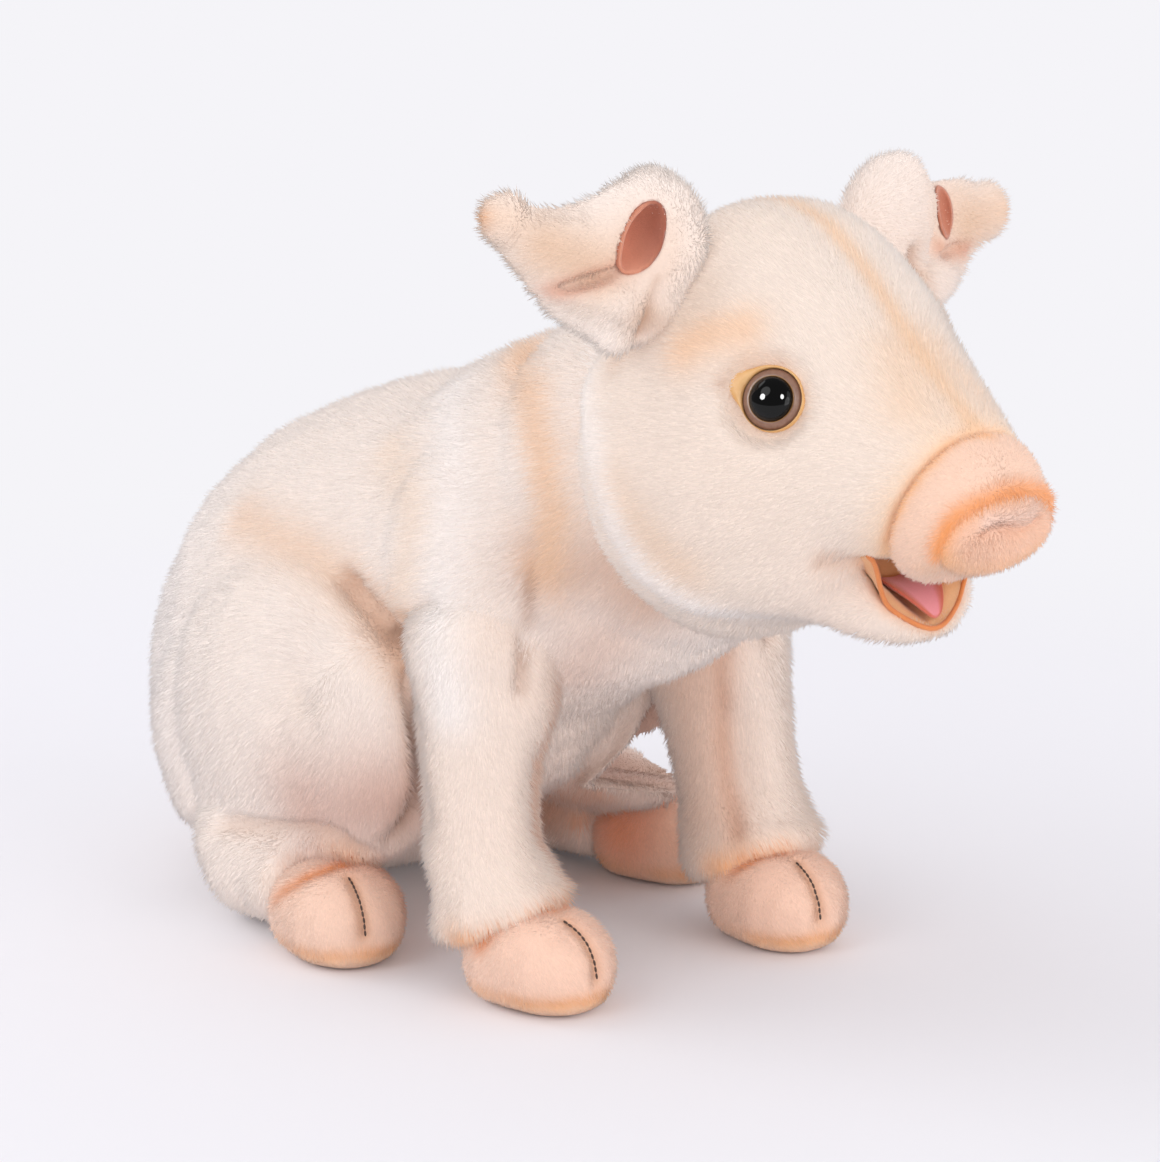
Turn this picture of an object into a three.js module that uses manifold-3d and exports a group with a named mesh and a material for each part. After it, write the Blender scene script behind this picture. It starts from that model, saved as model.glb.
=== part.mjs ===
// A sitting plush piglet: stuffed body, head, ears and legs, with a ball-shaped neck.
// Millimetres, +Z up. The piglet looks along -Y and sits on Z = 0, with the origin under its rump.
import * as THREE from 'three';
import Module from 'manifold-3d';
import { mergeVertices } from 'three/addons/utils/BufferGeometryUtils.js';

const wasm = await Module();
wasm.setup();

// Clearance between sewn pieces, more room for those that turn, how far a cut runs past its piece,
// and how deep the sitting pig sinks into its flat soles.
const seamGap = 0.3;
const turnRoom = 0.8;
const cutOverrun = 4;
const floorCut = 0.5;

// Body: a tapering form whose axis climbs from the rump to the neck.
const torsoLength = 226;
const torsoWidth = 130;
const torsoHeight = 132;
const torsoPitch = THREE.MathUtils.degToRad(33);
const rumpBack = 40;
const rumpUp = 16.5;

// Neck: a stuffed ball that turns in the body and nods in the head.
const neckRadius = 50;
const neckPlaceShares = [0, 1.0724, 0.0632];

// Head: its rings stand upright, from the back of the jowls to the snout seam.
const headLength = 124;
const headWidth = 110;
const headHeight = 120;
const headTaperShare = 0.13;
const headFromNeck = 4;
const headAboveNeck = 13;

// Snout and nose pad lie on one axis that points forward and a little down.
const snoutPlaceShares = [0, 0.9032, -0.1];
const snoutPitch = THREE.MathUtils.degToRad(22);
const snoutLength = 14;
const snoutWidth = 48;
const snoutHeight = 48;
const nosePadDepth = 3.5;
const nosePadWidth = 39;
const nosePadHeight = 26;

// Lower jaw, the mouth space above it, the lining of that space and the tongue.
const jawPlaceShares = [0, 0.7258, -0.5667];
const jawLength = 16;
const jawWidth = 50;
const jawHeight = 32;
const mouthPlaceShares = [0, 0.6694, -0.4];
const mouthLength = 36;
const mouthPitch = THREE.MathUtils.degToRad(19);
const mouthWidth = 30;
const mouthHeight = 14;
const liningThickness = 1;
const liningEndShare = 0.53;
const tongueStartShare = 0.33;
const tongueLength = 13;
const tongueWidth = 15;
const tongueThickness = 2.6;

// Toy eye: a dome on a shank, held by a washer inside the head, with a sewn lid round it.
const eyePlaceShares = [0.6364, 0.621, 0.3833];
const eyeRadius = 8.2;
const eyeDome = 5;
const shankRadius = 2;
const shankLength = 11;
const washerRadius = 6;
const washerThickness = 1.6;
const washerDepth = 6;
const lidWidth = 2;
const lidThickness = 1.6;
const eyeTurnShares = [-0.84, -0.46, 0.29];

// Ears: a long root that turns in the head, a cup near it and a leaf that ends in a blunt tip.
const earPlaceShares = [0.7636, 0.3065, 0.7667];
const earReachOutRight = 50;
const earReachBackRight = 17;
const earReachUpRight = 25;
const earReachOutLeft = 55;
const earReachBackLeft = 8;
const earReachUpLeft = 15;
const earBendShares = [0.4, 0.2, 0.95];
const earDepth = 19;
const earHeight = 46;
const earCupWidth = 15;
const earCupHeight = 25;
const earCupDepth = 14;
const earCupRim = 1.5;
const earCupRise = 5.5;
const earCupShare = 0.27;
const earCupTurnShare = 0.35;
const earSwingRoom = THREE.MathUtils.degToRad(16);

// Front legs: a ball in the shoulder, then a tapering leg that bends forward into its hoof.
const shoulderPlaceShares = [0.6769, 0.8284, -0.3335];
const shoulderRadius = 22.5;
const frontLegSplay = 6;
const wristReach = 6;
const wristUp = 52;
const frontAnkleReach = 15;
const frontAnkleUp = 20;
const frontLegWidth = 36;
const frontSwingRoom = THREE.MathUtils.degToRad(9.5);

// Thighs and hind legs lie along the flanks and are sewn to the body.
const haunchPlaceShares = [0.7692, 0.2247, 0.3224];
const kneePlaceShares = [0.8154, 0.7238, -0.6068];
const thighWidth = 54;
const thighHeight = 96;
const hockShare = 0.2188;
const hockOutward = 7.3;
const hindAnkleShare = 0.5938;
const hindAnkleOutward = 8.2;
const hindLegUp = 21;
const hindLegWidth = 38;

// Hooves: a block with a rounded toe and a stitched cleft.
const hoofLength = 42;
const hoofWidth = 39;
const hoofHeight = 27;
const hoofRoundness = 0.85;
const frontHeelBack = 6;
const frontHoofTurn = THREE.MathUtils.degToRad(-8);
const hindHeelBack = 3;
const hindHoofTurn = THREE.MathUtils.degToRad(15);
const threadRadius = 0.8;

// Tail: a short curl with a ball root in the rump.
const tailPlaceShares = [0, 0.1037, 0.8805];
const tailRadius = 4.5;
const tailRootRadius = 7;
const tailCurlRadius = 9;
const tailRise = 10;
const tailStalk = 13;
const tailTurns = 1.1;
const tailRows = 16;
const tailTaperShare = 0.6;
const tailSwingRoom = THREE.MathUtils.degToRad(20);

const plushColour = 0xf3e3da;
const peachColour = 0xf4c3a2;
const rustColour = 0xc9744a;
const pinkColour = 0xee8f93;
const lidColour = 0xd9a36c;
const eyeColour = 0x15100d;
const washerColour = 0xf2f2ee;
const threadColour = 0x4a2c1e;

const skyward = new THREE.Vector3(0, 0, 1);
const tailHintShares = [0.3, 0.3, 1];
const onward = new THREE.Vector3(0, -1, 0);

// A place on the piglet's right side, which is -X. A negative "out" lies on its left.
function place(out, forward, up) {
  return new THREE.Vector3(-out, -forward, up);
}

function headingDown(pitch) {
  return new THREE.Vector3(0, -Math.cos(pitch), -Math.sin(pitch));
}

function toSolid(geometry) {
  const bare = geometry.clone();
  bare.deleteAttribute('normal');
  bare.deleteAttribute('uv');
  const merged = mergeVertices(bare);
  return new wasm.Manifold(new wasm.Mesh({
    numProp: 3,
    vertProperties: new Float32Array(merged.attributes.position.array),
    triVerts: new Uint32Array(merged.index.array)
  }));
}

function toGeometry(solid) {
  const mesh = solid.getMesh();
  const geometry = new THREE.BufferGeometry();
  geometry.setAttribute('position', new THREE.BufferAttribute(mesh.vertProperties, 3));
  geometry.setIndex(new THREE.BufferAttribute(mesh.triVerts, 1));
  geometry.computeVertexNormals();
  return geometry;
}

// The same piece on the piglet's left side, with its faces turned back outward.
function mirrored(geometry) {
  const copy = geometry.clone();
  copy.applyMatrix4(new THREE.Matrix4().makeScale(-1, 1, 1));
  const index = copy.index.array;
  for (let i = 0; i < index.length; i += 3) {
    const second = index[i + 1];
    index[i + 1] = index[i + 2];
    index[i + 2] = second;
  }
  copy.computeVertexNormals();
  return copy;
}

// Rings along a curve. Each row of shares is: along, half-width, above and below the curve.
function ringsAlong(curve, width, height, upHint, ringShares, sides, roundness = 1) {
  return ringShares.map(([along, wide, high, low]) => {
    const tangent = curve.getTangentAt(along);
    const lift = upHint.clone().addScaledVector(tangent, -upHint.dot(tangent)).normalize();
    return {
      along, tangent, lift, sides, roundness,
      side: lift.clone().cross(tangent),
      centre: curve.getPointAt(along),
      halfWidth: wide * width / 2,
      above: high * height / 2,
      below: low * height / 2
    };
  });
}

// The same rings, larger all round by a gap, and wider or taller still where they swing about a pivot.
function grown(rings, gap, swing = null) {
  return rings.map((ring, index) => {
    const reach = swing ? ring.centre.distanceTo(swing.pivot) * Math.sin(swing.angle) : 0;
    const outward = index === 0 ? -gap : ring.along === 1 ? gap : 0;
    const wider = gap + (swing?.across ? reach : 0);
    const taller = gap + (swing?.upright ? reach : 0);
    return {
      ...ring,
      centre: ring.centre.clone().addScaledVector(ring.tangent, outward),
      halfWidth: ring.halfWidth + wider,
      above: ring.above + taller,
      below: ring.below + taller
    };
  });
}

// Superellipse: a roundness of 1 gives an ellipse and less than 1 a squarer ring.
function eased(value, roundness) {
  return Math.sign(value) * Math.abs(value) ** roundness;
}

// A ring with a taper is narrower towards its top.
function ringPoint(ring, step) {
  const angle = 2 * Math.PI * step / ring.sides;
  const rise = eased(Math.sin(angle), ring.roundness);
  const narrowing = 1 - (ring.taper ?? 0) * Math.max(0, rise);
  const across = ring.halfWidth * narrowing * eased(Math.cos(angle), ring.roundness);
  const height = rise * (rise > 0 ? ring.above : ring.below);
  return ring.centre.clone().addScaledVector(ring.side, across).addScaledVector(ring.lift, height);
}

// A closed skin over the rings, fanned to the centre of the first and of the last one.
// The diagonals of its four-sided faces are alike on both sides, so that mirrored pieces meet alike.
function ringForm(rings) {
  const sides = rings[0].sides;
  const points = rings.flatMap((ring) => Array.from({ length: sides }, (_, k) => ringPoint(ring, k)));
  const faces = [];
  for (let r = 0; r + 1 < rings.length; r += 1) {
    for (let k = 0; k < sides; k += 1) {
      const near = r * sides + k;
      const next = r * sides + (k + 1) % sides;
      if (Math.cos(2 * Math.PI * (k + 0.5) / sides) > 0) {
        faces.push(near, next, next + sides, near, next + sides, near + sides);
      } else {
        faces.push(near, next, near + sides, next, next + sides, near + sides);
      }
    }
  }
  const lastRow = (rings.length - 1) * sides;
  const firstPole = points.push(rings[0].centre) - 1;
  const lastPole = points.push(rings.at(-1).centre) - 1;
  for (let k = 0; k < sides; k += 1) {
    const next = (k + 1) % sides;
    faces.push(firstPole, next, k);
    faces.push(lastPole, lastRow + k, lastRow + next);
  }
  const geometry = new THREE.BufferGeometry();
  geometry.setAttribute('position', new THREE.BufferAttribute(
    new Float32Array(points.flatMap((point) => point.toArray())), 3));
  geometry.setIndex(faces);
  return toSolid(geometry);
}

function ball(centre, radius, sides) {
  const sphere = new THREE.SphereGeometry(radius, sides, sides / 2);
  sphere.translate(centre.x, centre.y, centre.z);
  return toSolid(sphere);
}

// Room for a ball to turn in: its flat faces lie outside the ball's corners.
function ballRoom(centre, radius, sides) {
  return ball(centre, (radius + seamGap) / Math.cos(Math.PI / sides) ** 2, sides);
}

// A box whose near face passes through a point, square to a direction, for cutting off what is beyond.
function beyond(point, direction, size) {
  const box = new THREE.BoxGeometry(size, size, size);
  box.translate(0, 0, size / 2);
  box.applyQuaternion(new THREE.Quaternion().setFromUnitVectors(skyward, direction));
  box.translate(point.x, point.y, point.z);
  return toSolid(box);
}

// A turned piece whose axis starts at a point and leaves the piglet along a direction.
function turned(profile, origin, direction, sides) {
  const outline = profile.map(([radius, rise]) => new THREE.Vector2(radius, rise));
  const lathe = new THREE.LatheGeometry(outline, sides);
  lathe.applyQuaternion(new THREE.Quaternion().setFromUnitVectors(new THREE.Vector3(0, 1, 0), direction));
  lathe.translate(origin.x, origin.y, origin.z);
  return toSolid(lathe);
}

function straight(from, to) {
  return new THREE.LineCurve3(from, to);
}

const floor = beyond(place(0, 0, 0), skyward.clone().negate(), 2 * torsoLength);

// Body form
// Each table below gives shares of a form's length, half-width and half-height.
const torsoShares = [
  [0.000, 0.24, 0.30, 0.12],
  [0.018, 0.48, 0.58, 0.30],
  [0.070, 0.75, 0.92, 0.50],
  [0.160, 0.91, 1.20, 0.68],
  [0.290, 0.99, 1.36, 0.76],
  [0.425, 1.01, 1.36, 0.76],
  [0.560, 0.95, 1.27, 0.70],
  [0.690, 0.87, 1.15, 0.58],
  [0.820, 0.83, 1.02, 0.62],
  [0.930, 0.81, 0.93, 0.69],
  [1.000, 0.78, 0.88, 0.69]
];
const torsoStart = place(0, -rumpBack, rumpUp);
const torsoHeading = headingDown(-torsoPitch);
const torsoLift = new THREE.Vector3(0, Math.sin(torsoPitch), Math.cos(torsoPitch));
const torsoCurve = straight(torsoStart, torsoStart.clone().addScaledVector(torsoHeading, torsoLength));
const torsoRings = ringsAlong(torsoCurve, torsoWidth, torsoHeight, skyward, torsoShares, 24);

// A place by its shares of the body's half-width, length and half-height, off the start of its axis.
function onTorso([outShare, alongShare, liftShare]) {
  return place(outShare * torsoWidth / 2, 0, 0)
    .add(torsoStart)
    .addScaledVector(torsoHeading, alongShare * torsoLength)
    .addScaledVector(torsoLift, liftShare * torsoHeight / 2);
}

// Neck ball and its sockets
const neckCentre = onTorso(neckPlaceShares);
const neck = ball(neckCentre, neckRadius, 32);
const neckSocket = ballRoom(neckCentre, neckRadius, 32);

// Head form, widest low down at the jowls
const headShares = [
  [0.000, 0.30, 0.30, 0.25],
  [0.035, 0.64, 0.66, 0.58],
  [0.100, 0.85, 0.92, 0.76],
  [0.180, 0.95, 1.08, 0.86],
  [0.280, 1.00, 1.16, 0.89],
  [0.385, 1.00, 1.17, 0.90],
  [0.490, 0.95, 1.09, 0.89],
  [0.610, 0.83, 0.91, 0.85],
  [0.715, 0.69, 0.70, 0.79],
  [0.740, 0.66, 0.65, 0.60],
  [0.770, 0.62, 0.59, 0.42],
  [0.870, 0.49, 0.42, 0.40],
  [1.000, 0.37, 0.22, 0.42]
];
const headStart = neckCentre.clone().add(place(0, headFromNeck, headAboveNeck));
const headCurve = straight(headStart, headStart.clone().add(place(0, headLength, 0)));
const headRings = ringsAlong(headCurve, headWidth, headHeight, skyward, headShares, 24)
  .map((ring) => ({ ...ring, taper: headTaperShare }));

// A place by its shares of the head's half-width, length and half-height, off the start of its axis.
function onHead([outShare, alongShare, upShare]) {
  return headStart.clone().add(
    place(outShare * headWidth / 2, alongShare * headLength, upShare * headHeight / 2));
}

// Snout and nose pad
const snoutShares = [
  [0.00, 0.96, 0.96, 0.90],
  [0.25, 1.00, 1.00, 0.90],
  [0.60, 0.97, 0.92, 0.78],
  [0.85, 0.90, 0.76, 0.60],
  [1.00, 0.82, 0.62, 0.46]
];
const snoutHeading = headingDown(snoutPitch);
const snoutStart = onHead(snoutPlaceShares);
const snoutEnd = snoutStart.clone().addScaledVector(snoutHeading, snoutLength);
const snoutCurve = straight(snoutStart, snoutEnd);
const snoutRings = ringsAlong(snoutCurve, snoutWidth, snoutHeight, skyward, snoutShares, 20);
const nosePadShares = [
  [0.00, 0.94, 0.94, 0.70],
  [0.20, 1.00, 1.00, 0.76],
  [0.60, 0.98, 0.97, 0.74],
  [1.00, 0.84, 0.80, 0.58]
];
const nosePadStart = snoutEnd.clone().addScaledVector(snoutHeading, seamGap);
const nosePadEnd = nosePadStart.clone().addScaledVector(snoutHeading, nosePadDepth);
const nosePadCurve = straight(nosePadStart, nosePadEnd);
const nosePad = ringForm(ringsAlong(nosePadCurve, nosePadWidth, nosePadHeight, skyward, nosePadShares, 20));

// Mouth space, its lining and the tongue on the lining
const mouthShares = [
  [0.00, 0.30, 0.25, 0.25],
  [0.08, 0.66, 0.62, 0.62],
  [0.25, 0.92, 0.94, 0.94],
  [0.50, 1.00, 1.00, 1.00],
  [0.80, 0.94, 0.95, 0.95],
  [1.00, 0.80, 0.90, 0.90]
];
const mouthStart = onHead(mouthPlaceShares);
const mouthHeading = headingDown(mouthPitch);
const mouthCurve = straight(mouthStart, mouthStart.clone().addScaledVector(mouthHeading, mouthLength));
const mouthRings = ringsAlong(mouthCurve, mouthWidth, mouthHeight, skyward, mouthShares, 20);
const mouthSpace = ringForm(mouthRings);
const liningEnd = beyond(mouthCurve.getPointAt(liningEndShare), onward, headLength);
const mouthLining = ringForm(grown(mouthRings, -seamGap))
  .subtract(ringForm(grown(mouthRings, -seamGap - liningThickness)))
  .subtract(liningEnd);

const jawShares = [
  [0.00, 1.00, 1.00, 0.92],
  [0.30, 0.90, 0.70, 0.86],
  [0.60, 0.72, 0.34, 0.75],
  [0.82, 0.50, 0.06, 0.62],
  [0.95, 0.28, -0.06, 0.48],
  [1.00, 0.12, -0.14, 0.36]
];
const jawStart = onHead(jawPlaceShares);
const jawCurve = straight(jawStart, jawStart.clone().add(place(0, jawLength, 0)));
const lowerJaw = ringForm(ringsAlong(jawCurve, jawWidth, jawHeight, skyward, jawShares, 24))
  .subtract(mouthSpace);

const tongueShares = [
  [0.00, 0.80, 0.80, 0.80],
  [0.30, 1.00, 1.00, 1.00],
  [0.70, 0.90, 1.00, 1.00],
  [0.92, 0.52, 0.80, 0.80],
  [1.00, 0.20, 0.40, 0.40]
];
const tongueStart = mouthStart.clone()
  .addScaledVector(mouthHeading, tongueStartShare * mouthLength)
  .addScaledVector(skyward, liningThickness + 2 * seamGap + tongueThickness / 2 - mouthHeight / 2);
const tongueCurve = straight(tongueStart, tongueStart.clone().addScaledVector(mouthHeading, tongueLength));
const tongue = ringForm(ringsAlong(tongueCurve, tongueWidth, tongueThickness, skyward, tongueShares, 16))
  .intersect(ringForm(grown(mouthRings, -2 * seamGap - liningThickness)));

// Eye, washer, lid and the pocket that holds them
const eyeAxis = new THREE.Vector3(...eyeTurnShares).normalize();
const eyeCentre = onHead(eyePlaceShares);
const lidRadius = eyeRadius + seamGap + lidWidth;
const washerBack = -washerDepth - washerThickness;
const domeShares = [[1.00, 0.00], [0.97, 0.26], [0.87, 0.50], [0.68, 0.74], [0.38, 0.93], [0.00, 1.00]];
const eye = turned([
  [0, -shankLength],
  [shankRadius, -shankLength],
  [shankRadius, 0],
  ...domeShares.map(([radius, rise]) => [eyeRadius * radius, eyeDome * rise])
], eyeCentre, eyeAxis, 20);
const eyeWasher = turned([
  [shankRadius + seamGap, washerBack],
  [washerRadius, washerBack],
  [washerRadius, -washerDepth],
  [shankRadius + seamGap, -washerDepth],
  [shankRadius + seamGap, washerBack]
], eyeCentre, eyeAxis, 20);
const lidShares = [[0, 0], [1, 0], [1, 0.5], [0.7, 0.9], [0.3, 1], [0, 0.7], [0, 0]];
const eyelid = turned(
  lidShares.map(([across, rise]) => [eyeRadius + seamGap + lidWidth * across, lidThickness * rise]),
  eyeCentre, eyeAxis, 24);
const eyePocket = turned([
  [0, -shankLength - seamGap],
  [shankRadius + seamGap, -shankLength - seamGap],
  [shankRadius + seamGap, washerBack - seamGap],
  [washerRadius + seamGap, washerBack - seamGap],
  [washerRadius + seamGap, -washerDepth + seamGap],
  [shankRadius + seamGap, -washerDepth + seamGap],
  [shankRadius + seamGap, -seamGap],
  [lidRadius + seamGap, -seamGap],
  [lidRadius + seamGap, eyeDome + cutOverrun],
  [0, eyeDome + cutOverrun]
], eyeCentre, eyeAxis, 24);

// Ear: its root is round about the hinge line, so that it turns in its groove in the head
const earRootShares = [-0.98, -0.85, -0.6, -0.3];
const earLeafShares = [
  [0.00, 0.72, 1.00, 1.00],
  [0.10, 0.88, 1.22, 0.98],
  [0.22, 0.98, 1.32, 1.00],
  [0.36, 0.92, 1.14, 1.04],
  [0.50, 0.66, 0.74, 1.02],
  [0.66, 0.48, 0.46, 0.88],
  [0.82, 0.38, 0.38, 0.58],
  [0.94, 0.30, 0.36, 0.36],
  [1.00, 0.14, 0.20, 0.20]
];
const earPivot = onHead(earPlaceShares);
function earCurve(reachOut, reachBack, reachUp) {
  const [outShare, backShare, upShare] = earBendShares;
  const bend = place(outShare * reachOut, -backShare * reachBack, upShare * reachUp).add(earPivot);
  const tip = place(reachOut, -reachBack, reachUp).add(earPivot);
  return new THREE.QuadraticBezierCurve3(earPivot, bend, tip);
}
function earRingsAlong(curve, ringShares) {
  return ringsAlong(curve, earDepth, earHeight, skyward, ringShares, 20);
}
function earRootRings(firstRing) {
  return earRootShares.map((inward) => {
    const fullness = Math.sqrt(1 - inward * inward);
    return {
      ...firstRing,
      along: inward,
      centre: earPivot.clone().addScaledVector(firstRing.tangent, inward * firstRing.halfWidth),
      halfWidth: fullness * firstRing.halfWidth,
      above: fullness * firstRing.above,
      below: fullness * firstRing.below
    };
  });
}

// The cup is hollowed from the front of the ear, and its lining lies in the hollow
function earCup(ring, shrink) {
  const inward = ring.side.clone().addScaledVector(ring.tangent, earCupTurnShare).normalize();
  const across = ring.lift.clone().cross(inward);
  const centre = ring.centre.clone().addScaledVector(ring.side, ring.halfWidth)
    .addScaledVector(ring.lift, earCupRise);
  const sphere = new THREE.SphereGeometry(1, 20, 12);
  sphere.scale(earCupWidth / 2 - shrink, earCupHeight / 2 - shrink, earCupDepth - shrink);
  sphere.applyMatrix4(new THREE.Matrix4().makeBasis(across, ring.lift, inward));
  sphere.translate(centre.x, centre.y, centre.z);
  const rim = beyond(centre.addScaledVector(inward, -earCupRim), inward, earHeight);
  return { hollow: toSolid(sphere), rim };
}
function earPieces(curve) {
  const rings = earRingsAlong(curve, earLeafShares);
  const rootRings = earRootRings(rings[0]);
  const swing = { pivot: earPivot, angle: earSwingRoom, across: true };
  const cupRing = earRingsAlong(curve, [[earCupShare, 1, 1, 1]])[0];
  const { hollow } = earCup(cupRing, 0);
  const outer = earCup(cupRing, seamGap);
  const inner = earCup(cupRing, seamGap + liningThickness);
  return {
    ear: ringForm([...rootRings, ...rings]).subtract(hollow),
    lining: outer.hollow.subtract(inner.hollow).subtract(outer.rim),
    groove: ringForm([...grown(rootRings, turnRoom), ...grown(rings, turnRoom, swing)])
  };
}
const rightEar = earPieces(earCurve(earReachOutRight, earReachBackRight, earReachUpRight));
const leftEar = earPieces(earCurve(earReachOutLeft, earReachBackLeft, earReachUpLeft));

// Front leg: ball in the shoulder, leg and hoof
const frontLegShares = [
  [0.00, 1.20, 1.22, 1.22],
  [0.18, 1.14, 1.18, 1.16],
  [0.36, 1.02, 1.04, 1.04],
  [0.54, 0.95, 0.95, 0.95],
  [0.70, 0.93, 0.91, 0.93],
  [0.84, 1.02, 0.98, 1.04],
  [0.94, 1.10, 1.04, 1.10],
  [1.00, 1.04, 0.96, 1.02]
];
const shoulder = onTorso(shoulderPlaceShares);
const wrist = shoulder.clone().add(place(frontLegSplay, wristReach, 0)).setZ(wristUp);
const frontAnkle = shoulder.clone().add(place(frontLegSplay, frontAnkleReach, 0)).setZ(frontAnkleUp);
const frontLegCurve = new THREE.CatmullRomCurve3([shoulder, wrist, frontAnkle]);
const frontLegRings = ringsAlong(frontLegCurve, frontLegWidth, frontLegWidth, onward, frontLegShares, 20);
const frontLegForm = ringForm(frontLegRings).add(ball(shoulder, shoulderRadius, 24));
const frontLegSweep = { pivot: shoulder, angle: frontSwingRoom, upright: true };
const frontLegRoom = ringForm(grown(frontLegRings, turnRoom, frontLegSweep))
  .add(ballRoom(shoulder, shoulderRadius, 24));

// Hoof along its own heading, flat where it stands, with a stitched cleft down the toe
const hoofShares = [
  [0.00, 0.50, 0.30, 0.60],
  [0.08, 0.78, 0.62, 0.90],
  [0.25, 0.96, 0.94, 1.02],
  [0.50, 1.00, 1.04, 1.02],
  [0.72, 0.95, 0.94, 1.02],
  [0.90, 0.72, 0.66, 0.90],
  [1.00, 0.40, 0.26, 0.60]
];
function hoofCurve(ankle, heelBack, turn) {
  const heel = ankle.clone().add(place(0, -heelBack, 0)).setZ(hoofHeight / 2 - floorCut);
  const toeward = new THREE.Vector3(-Math.sin(turn), -Math.cos(turn), 0);
  return straight(heel, heel.clone().addScaledVector(toeward, hoofLength));
}
function hoofForm(curve) {
  return ringForm(ringsAlong(curve, hoofWidth, hoofHeight, skyward, hoofShares, 20, hoofRoundness));
}
// The thread runs down the middle of the toe, half sunk in a groove of its own.
const cleftShares = [[0.66, 0.97], [0.98, 0.80], [1.00, 0.02]];
function cleftThread(curve, radius) {
  const points = cleftShares.map(([along, rise]) => (
    curve.getPointAt(along).addScaledVector(skyward, rise * hoofHeight / 2)));
  const path = new THREE.QuadraticBezierCurve3(...points);
  const section = new THREE.Shape().absarc(0, 0, radius, 0, 2 * Math.PI);
  return toSolid(new THREE.ExtrudeGeometry(section, {
    extrudePath: path, steps: 8, curveSegments: 4, bevelEnabled: false
  }));
}
const frontHoofCurve = hoofCurve(frontAnkle, frontHeelBack, frontHoofTurn);

// Thigh and hind leg
const thighShares = [
  [0.00, 0.16, 0.16, 0.16],
  [0.07, 0.50, 0.50, 0.50],
  [0.20, 0.82, 0.84, 0.84],
  [0.40, 1.00, 1.02, 1.00],
  [0.62, 1.02, 1.00, 0.92],
  [0.80, 0.88, 0.84, 0.76],
  [0.93, 0.58, 0.56, 0.50],
  [1.00, 0.20, 0.20, 0.20]
];
const thighCurve = straight(onTorso(haunchPlaceShares), onTorso(kneePlaceShares));
const thighRings = ringsAlong(thighCurve, thighWidth, thighHeight, skyward, thighShares, 20);
const hindLegShares = [
  [0.00, 0.50, 0.50, 0.50],
  [0.10, 0.84, 0.86, 0.84],
  [0.30, 1.06, 1.08, 1.02],
  [0.55, 1.04, 1.04, 1.02],
  [0.80, 0.94, 0.92, 0.96],
  [1.00, 0.88, 0.80, 0.90]
];
const hock = thighCurve.getPointAt(hockShare).add(place(hockOutward, 0, 0)).setZ(hindLegUp);
const hindAnkle = thighCurve.getPointAt(hindAnkleShare).add(place(hindAnkleOutward, 0, 0)).setZ(hindLegUp);
const hindLegCurve = straight(hock, hindAnkle);
const hindHoofCurve = hoofCurve(hindAnkle, hindHeelBack, hindHoofTurn);
const hindLegRings = ringsAlong(hindLegCurve, hindLegWidth, hindLegWidth, skyward, hindLegShares, 18);

// Tail
const tailRoot = onTorso(tailPlaceShares);
const tailShares = [0, 0.16, 0.3, 0.45, 0.6, 0.75, 0.9, 1];
const tailCurve = new THREE.CatmullRomCurve3(tailShares.map((share) => {
  const turn = 2 * Math.PI * tailTurns * share;
  return tailRoot.clone().add(place(
    tailCurlRadius * Math.sin(turn),
    -tailStalk * Math.min(1, share / tailShares[1]) - tailRise * share,
    tailCurlRadius * (1 - Math.cos(turn))));
}));
const tailUpHint = new THREE.Vector3(...tailHintShares).normalize();
const tailRingShares = Array.from({ length: tailRows + 1 }, (_, row) => {
  const along = row / tailRows;
  const fullness = 1 - tailTaperShare * along ** 3;
  return [along, fullness, fullness, fullness];
});
const tailRings = ringsAlong(tailCurve, 2 * tailRadius, 2 * tailRadius, tailUpHint, tailRingShares, 10);
const tail = ringForm(tailRings).add(ball(tailRoot, tailRootRadius, 12));
const tailSweep = { pivot: tailRoot, angle: tailSwingRoom, across: true, upright: true };
const tailRoom = ringForm(grown(tailRings, turnRoom, tailSweep))
  .add(ballRoom(tailRoot, tailRootRadius, 12));

// Cutting: each smaller form gives way to the larger ones
function leftOf(solid) {
  return toSolid(mirrored(toGeometry(solid)));
}
function bothSides(solid) {
  return solid.add(leftOf(solid));
}

const torso = ringForm(torsoRings)
  .subtract(neckSocket)
  .subtract(bothSides(frontLegRoom))
  .subtract(tailRoom)
  .subtract(floor);
const torsoRoom = ringForm(grown(torsoRings, seamGap));
const thigh = ringForm(thighRings).subtract(torsoRoom).subtract(frontLegRoom);
const thighRoom = ringForm(grown(thighRings, seamGap));
const hindLeg = ringForm(hindLegRings).subtract(torsoRoom).subtract(thighRoom);

const frontLegEnd = ringForm(grown(frontLegRings, seamGap));
const hindLegEnd = ringForm(grown(hindLegRings, seamGap));
function hoof(curve, legEnd) {
  const groove = cleftThread(curve, threadRadius + seamGap);
  return hoofForm(curve).subtract(legEnd).subtract(groove).subtract(floor);
}

const snoutSeam = snoutStart.clone().addScaledVector(snoutHeading, -seamGap);
const snoutPlane = beyond(snoutSeam, snoutHeading, headLength);
const head = ringForm(headRings)
  .subtract(neckSocket)
  .subtract(snoutPlane)
  .subtract(mouthSpace)
  .subtract(bothSides(eyePocket))
  .subtract(rightEar.groove)
  .subtract(leftOf(leftEar.groove));
const snout = ringForm(snoutRings).subtract(mouthSpace);
const jaw = lowerJaw
  .subtract(ringForm(grown(headRings, seamGap)))
  .subtract(ringForm(grown(snoutRings, seamGap)));

// The finished group of named pieces
const piglet = new THREE.Group();

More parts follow.
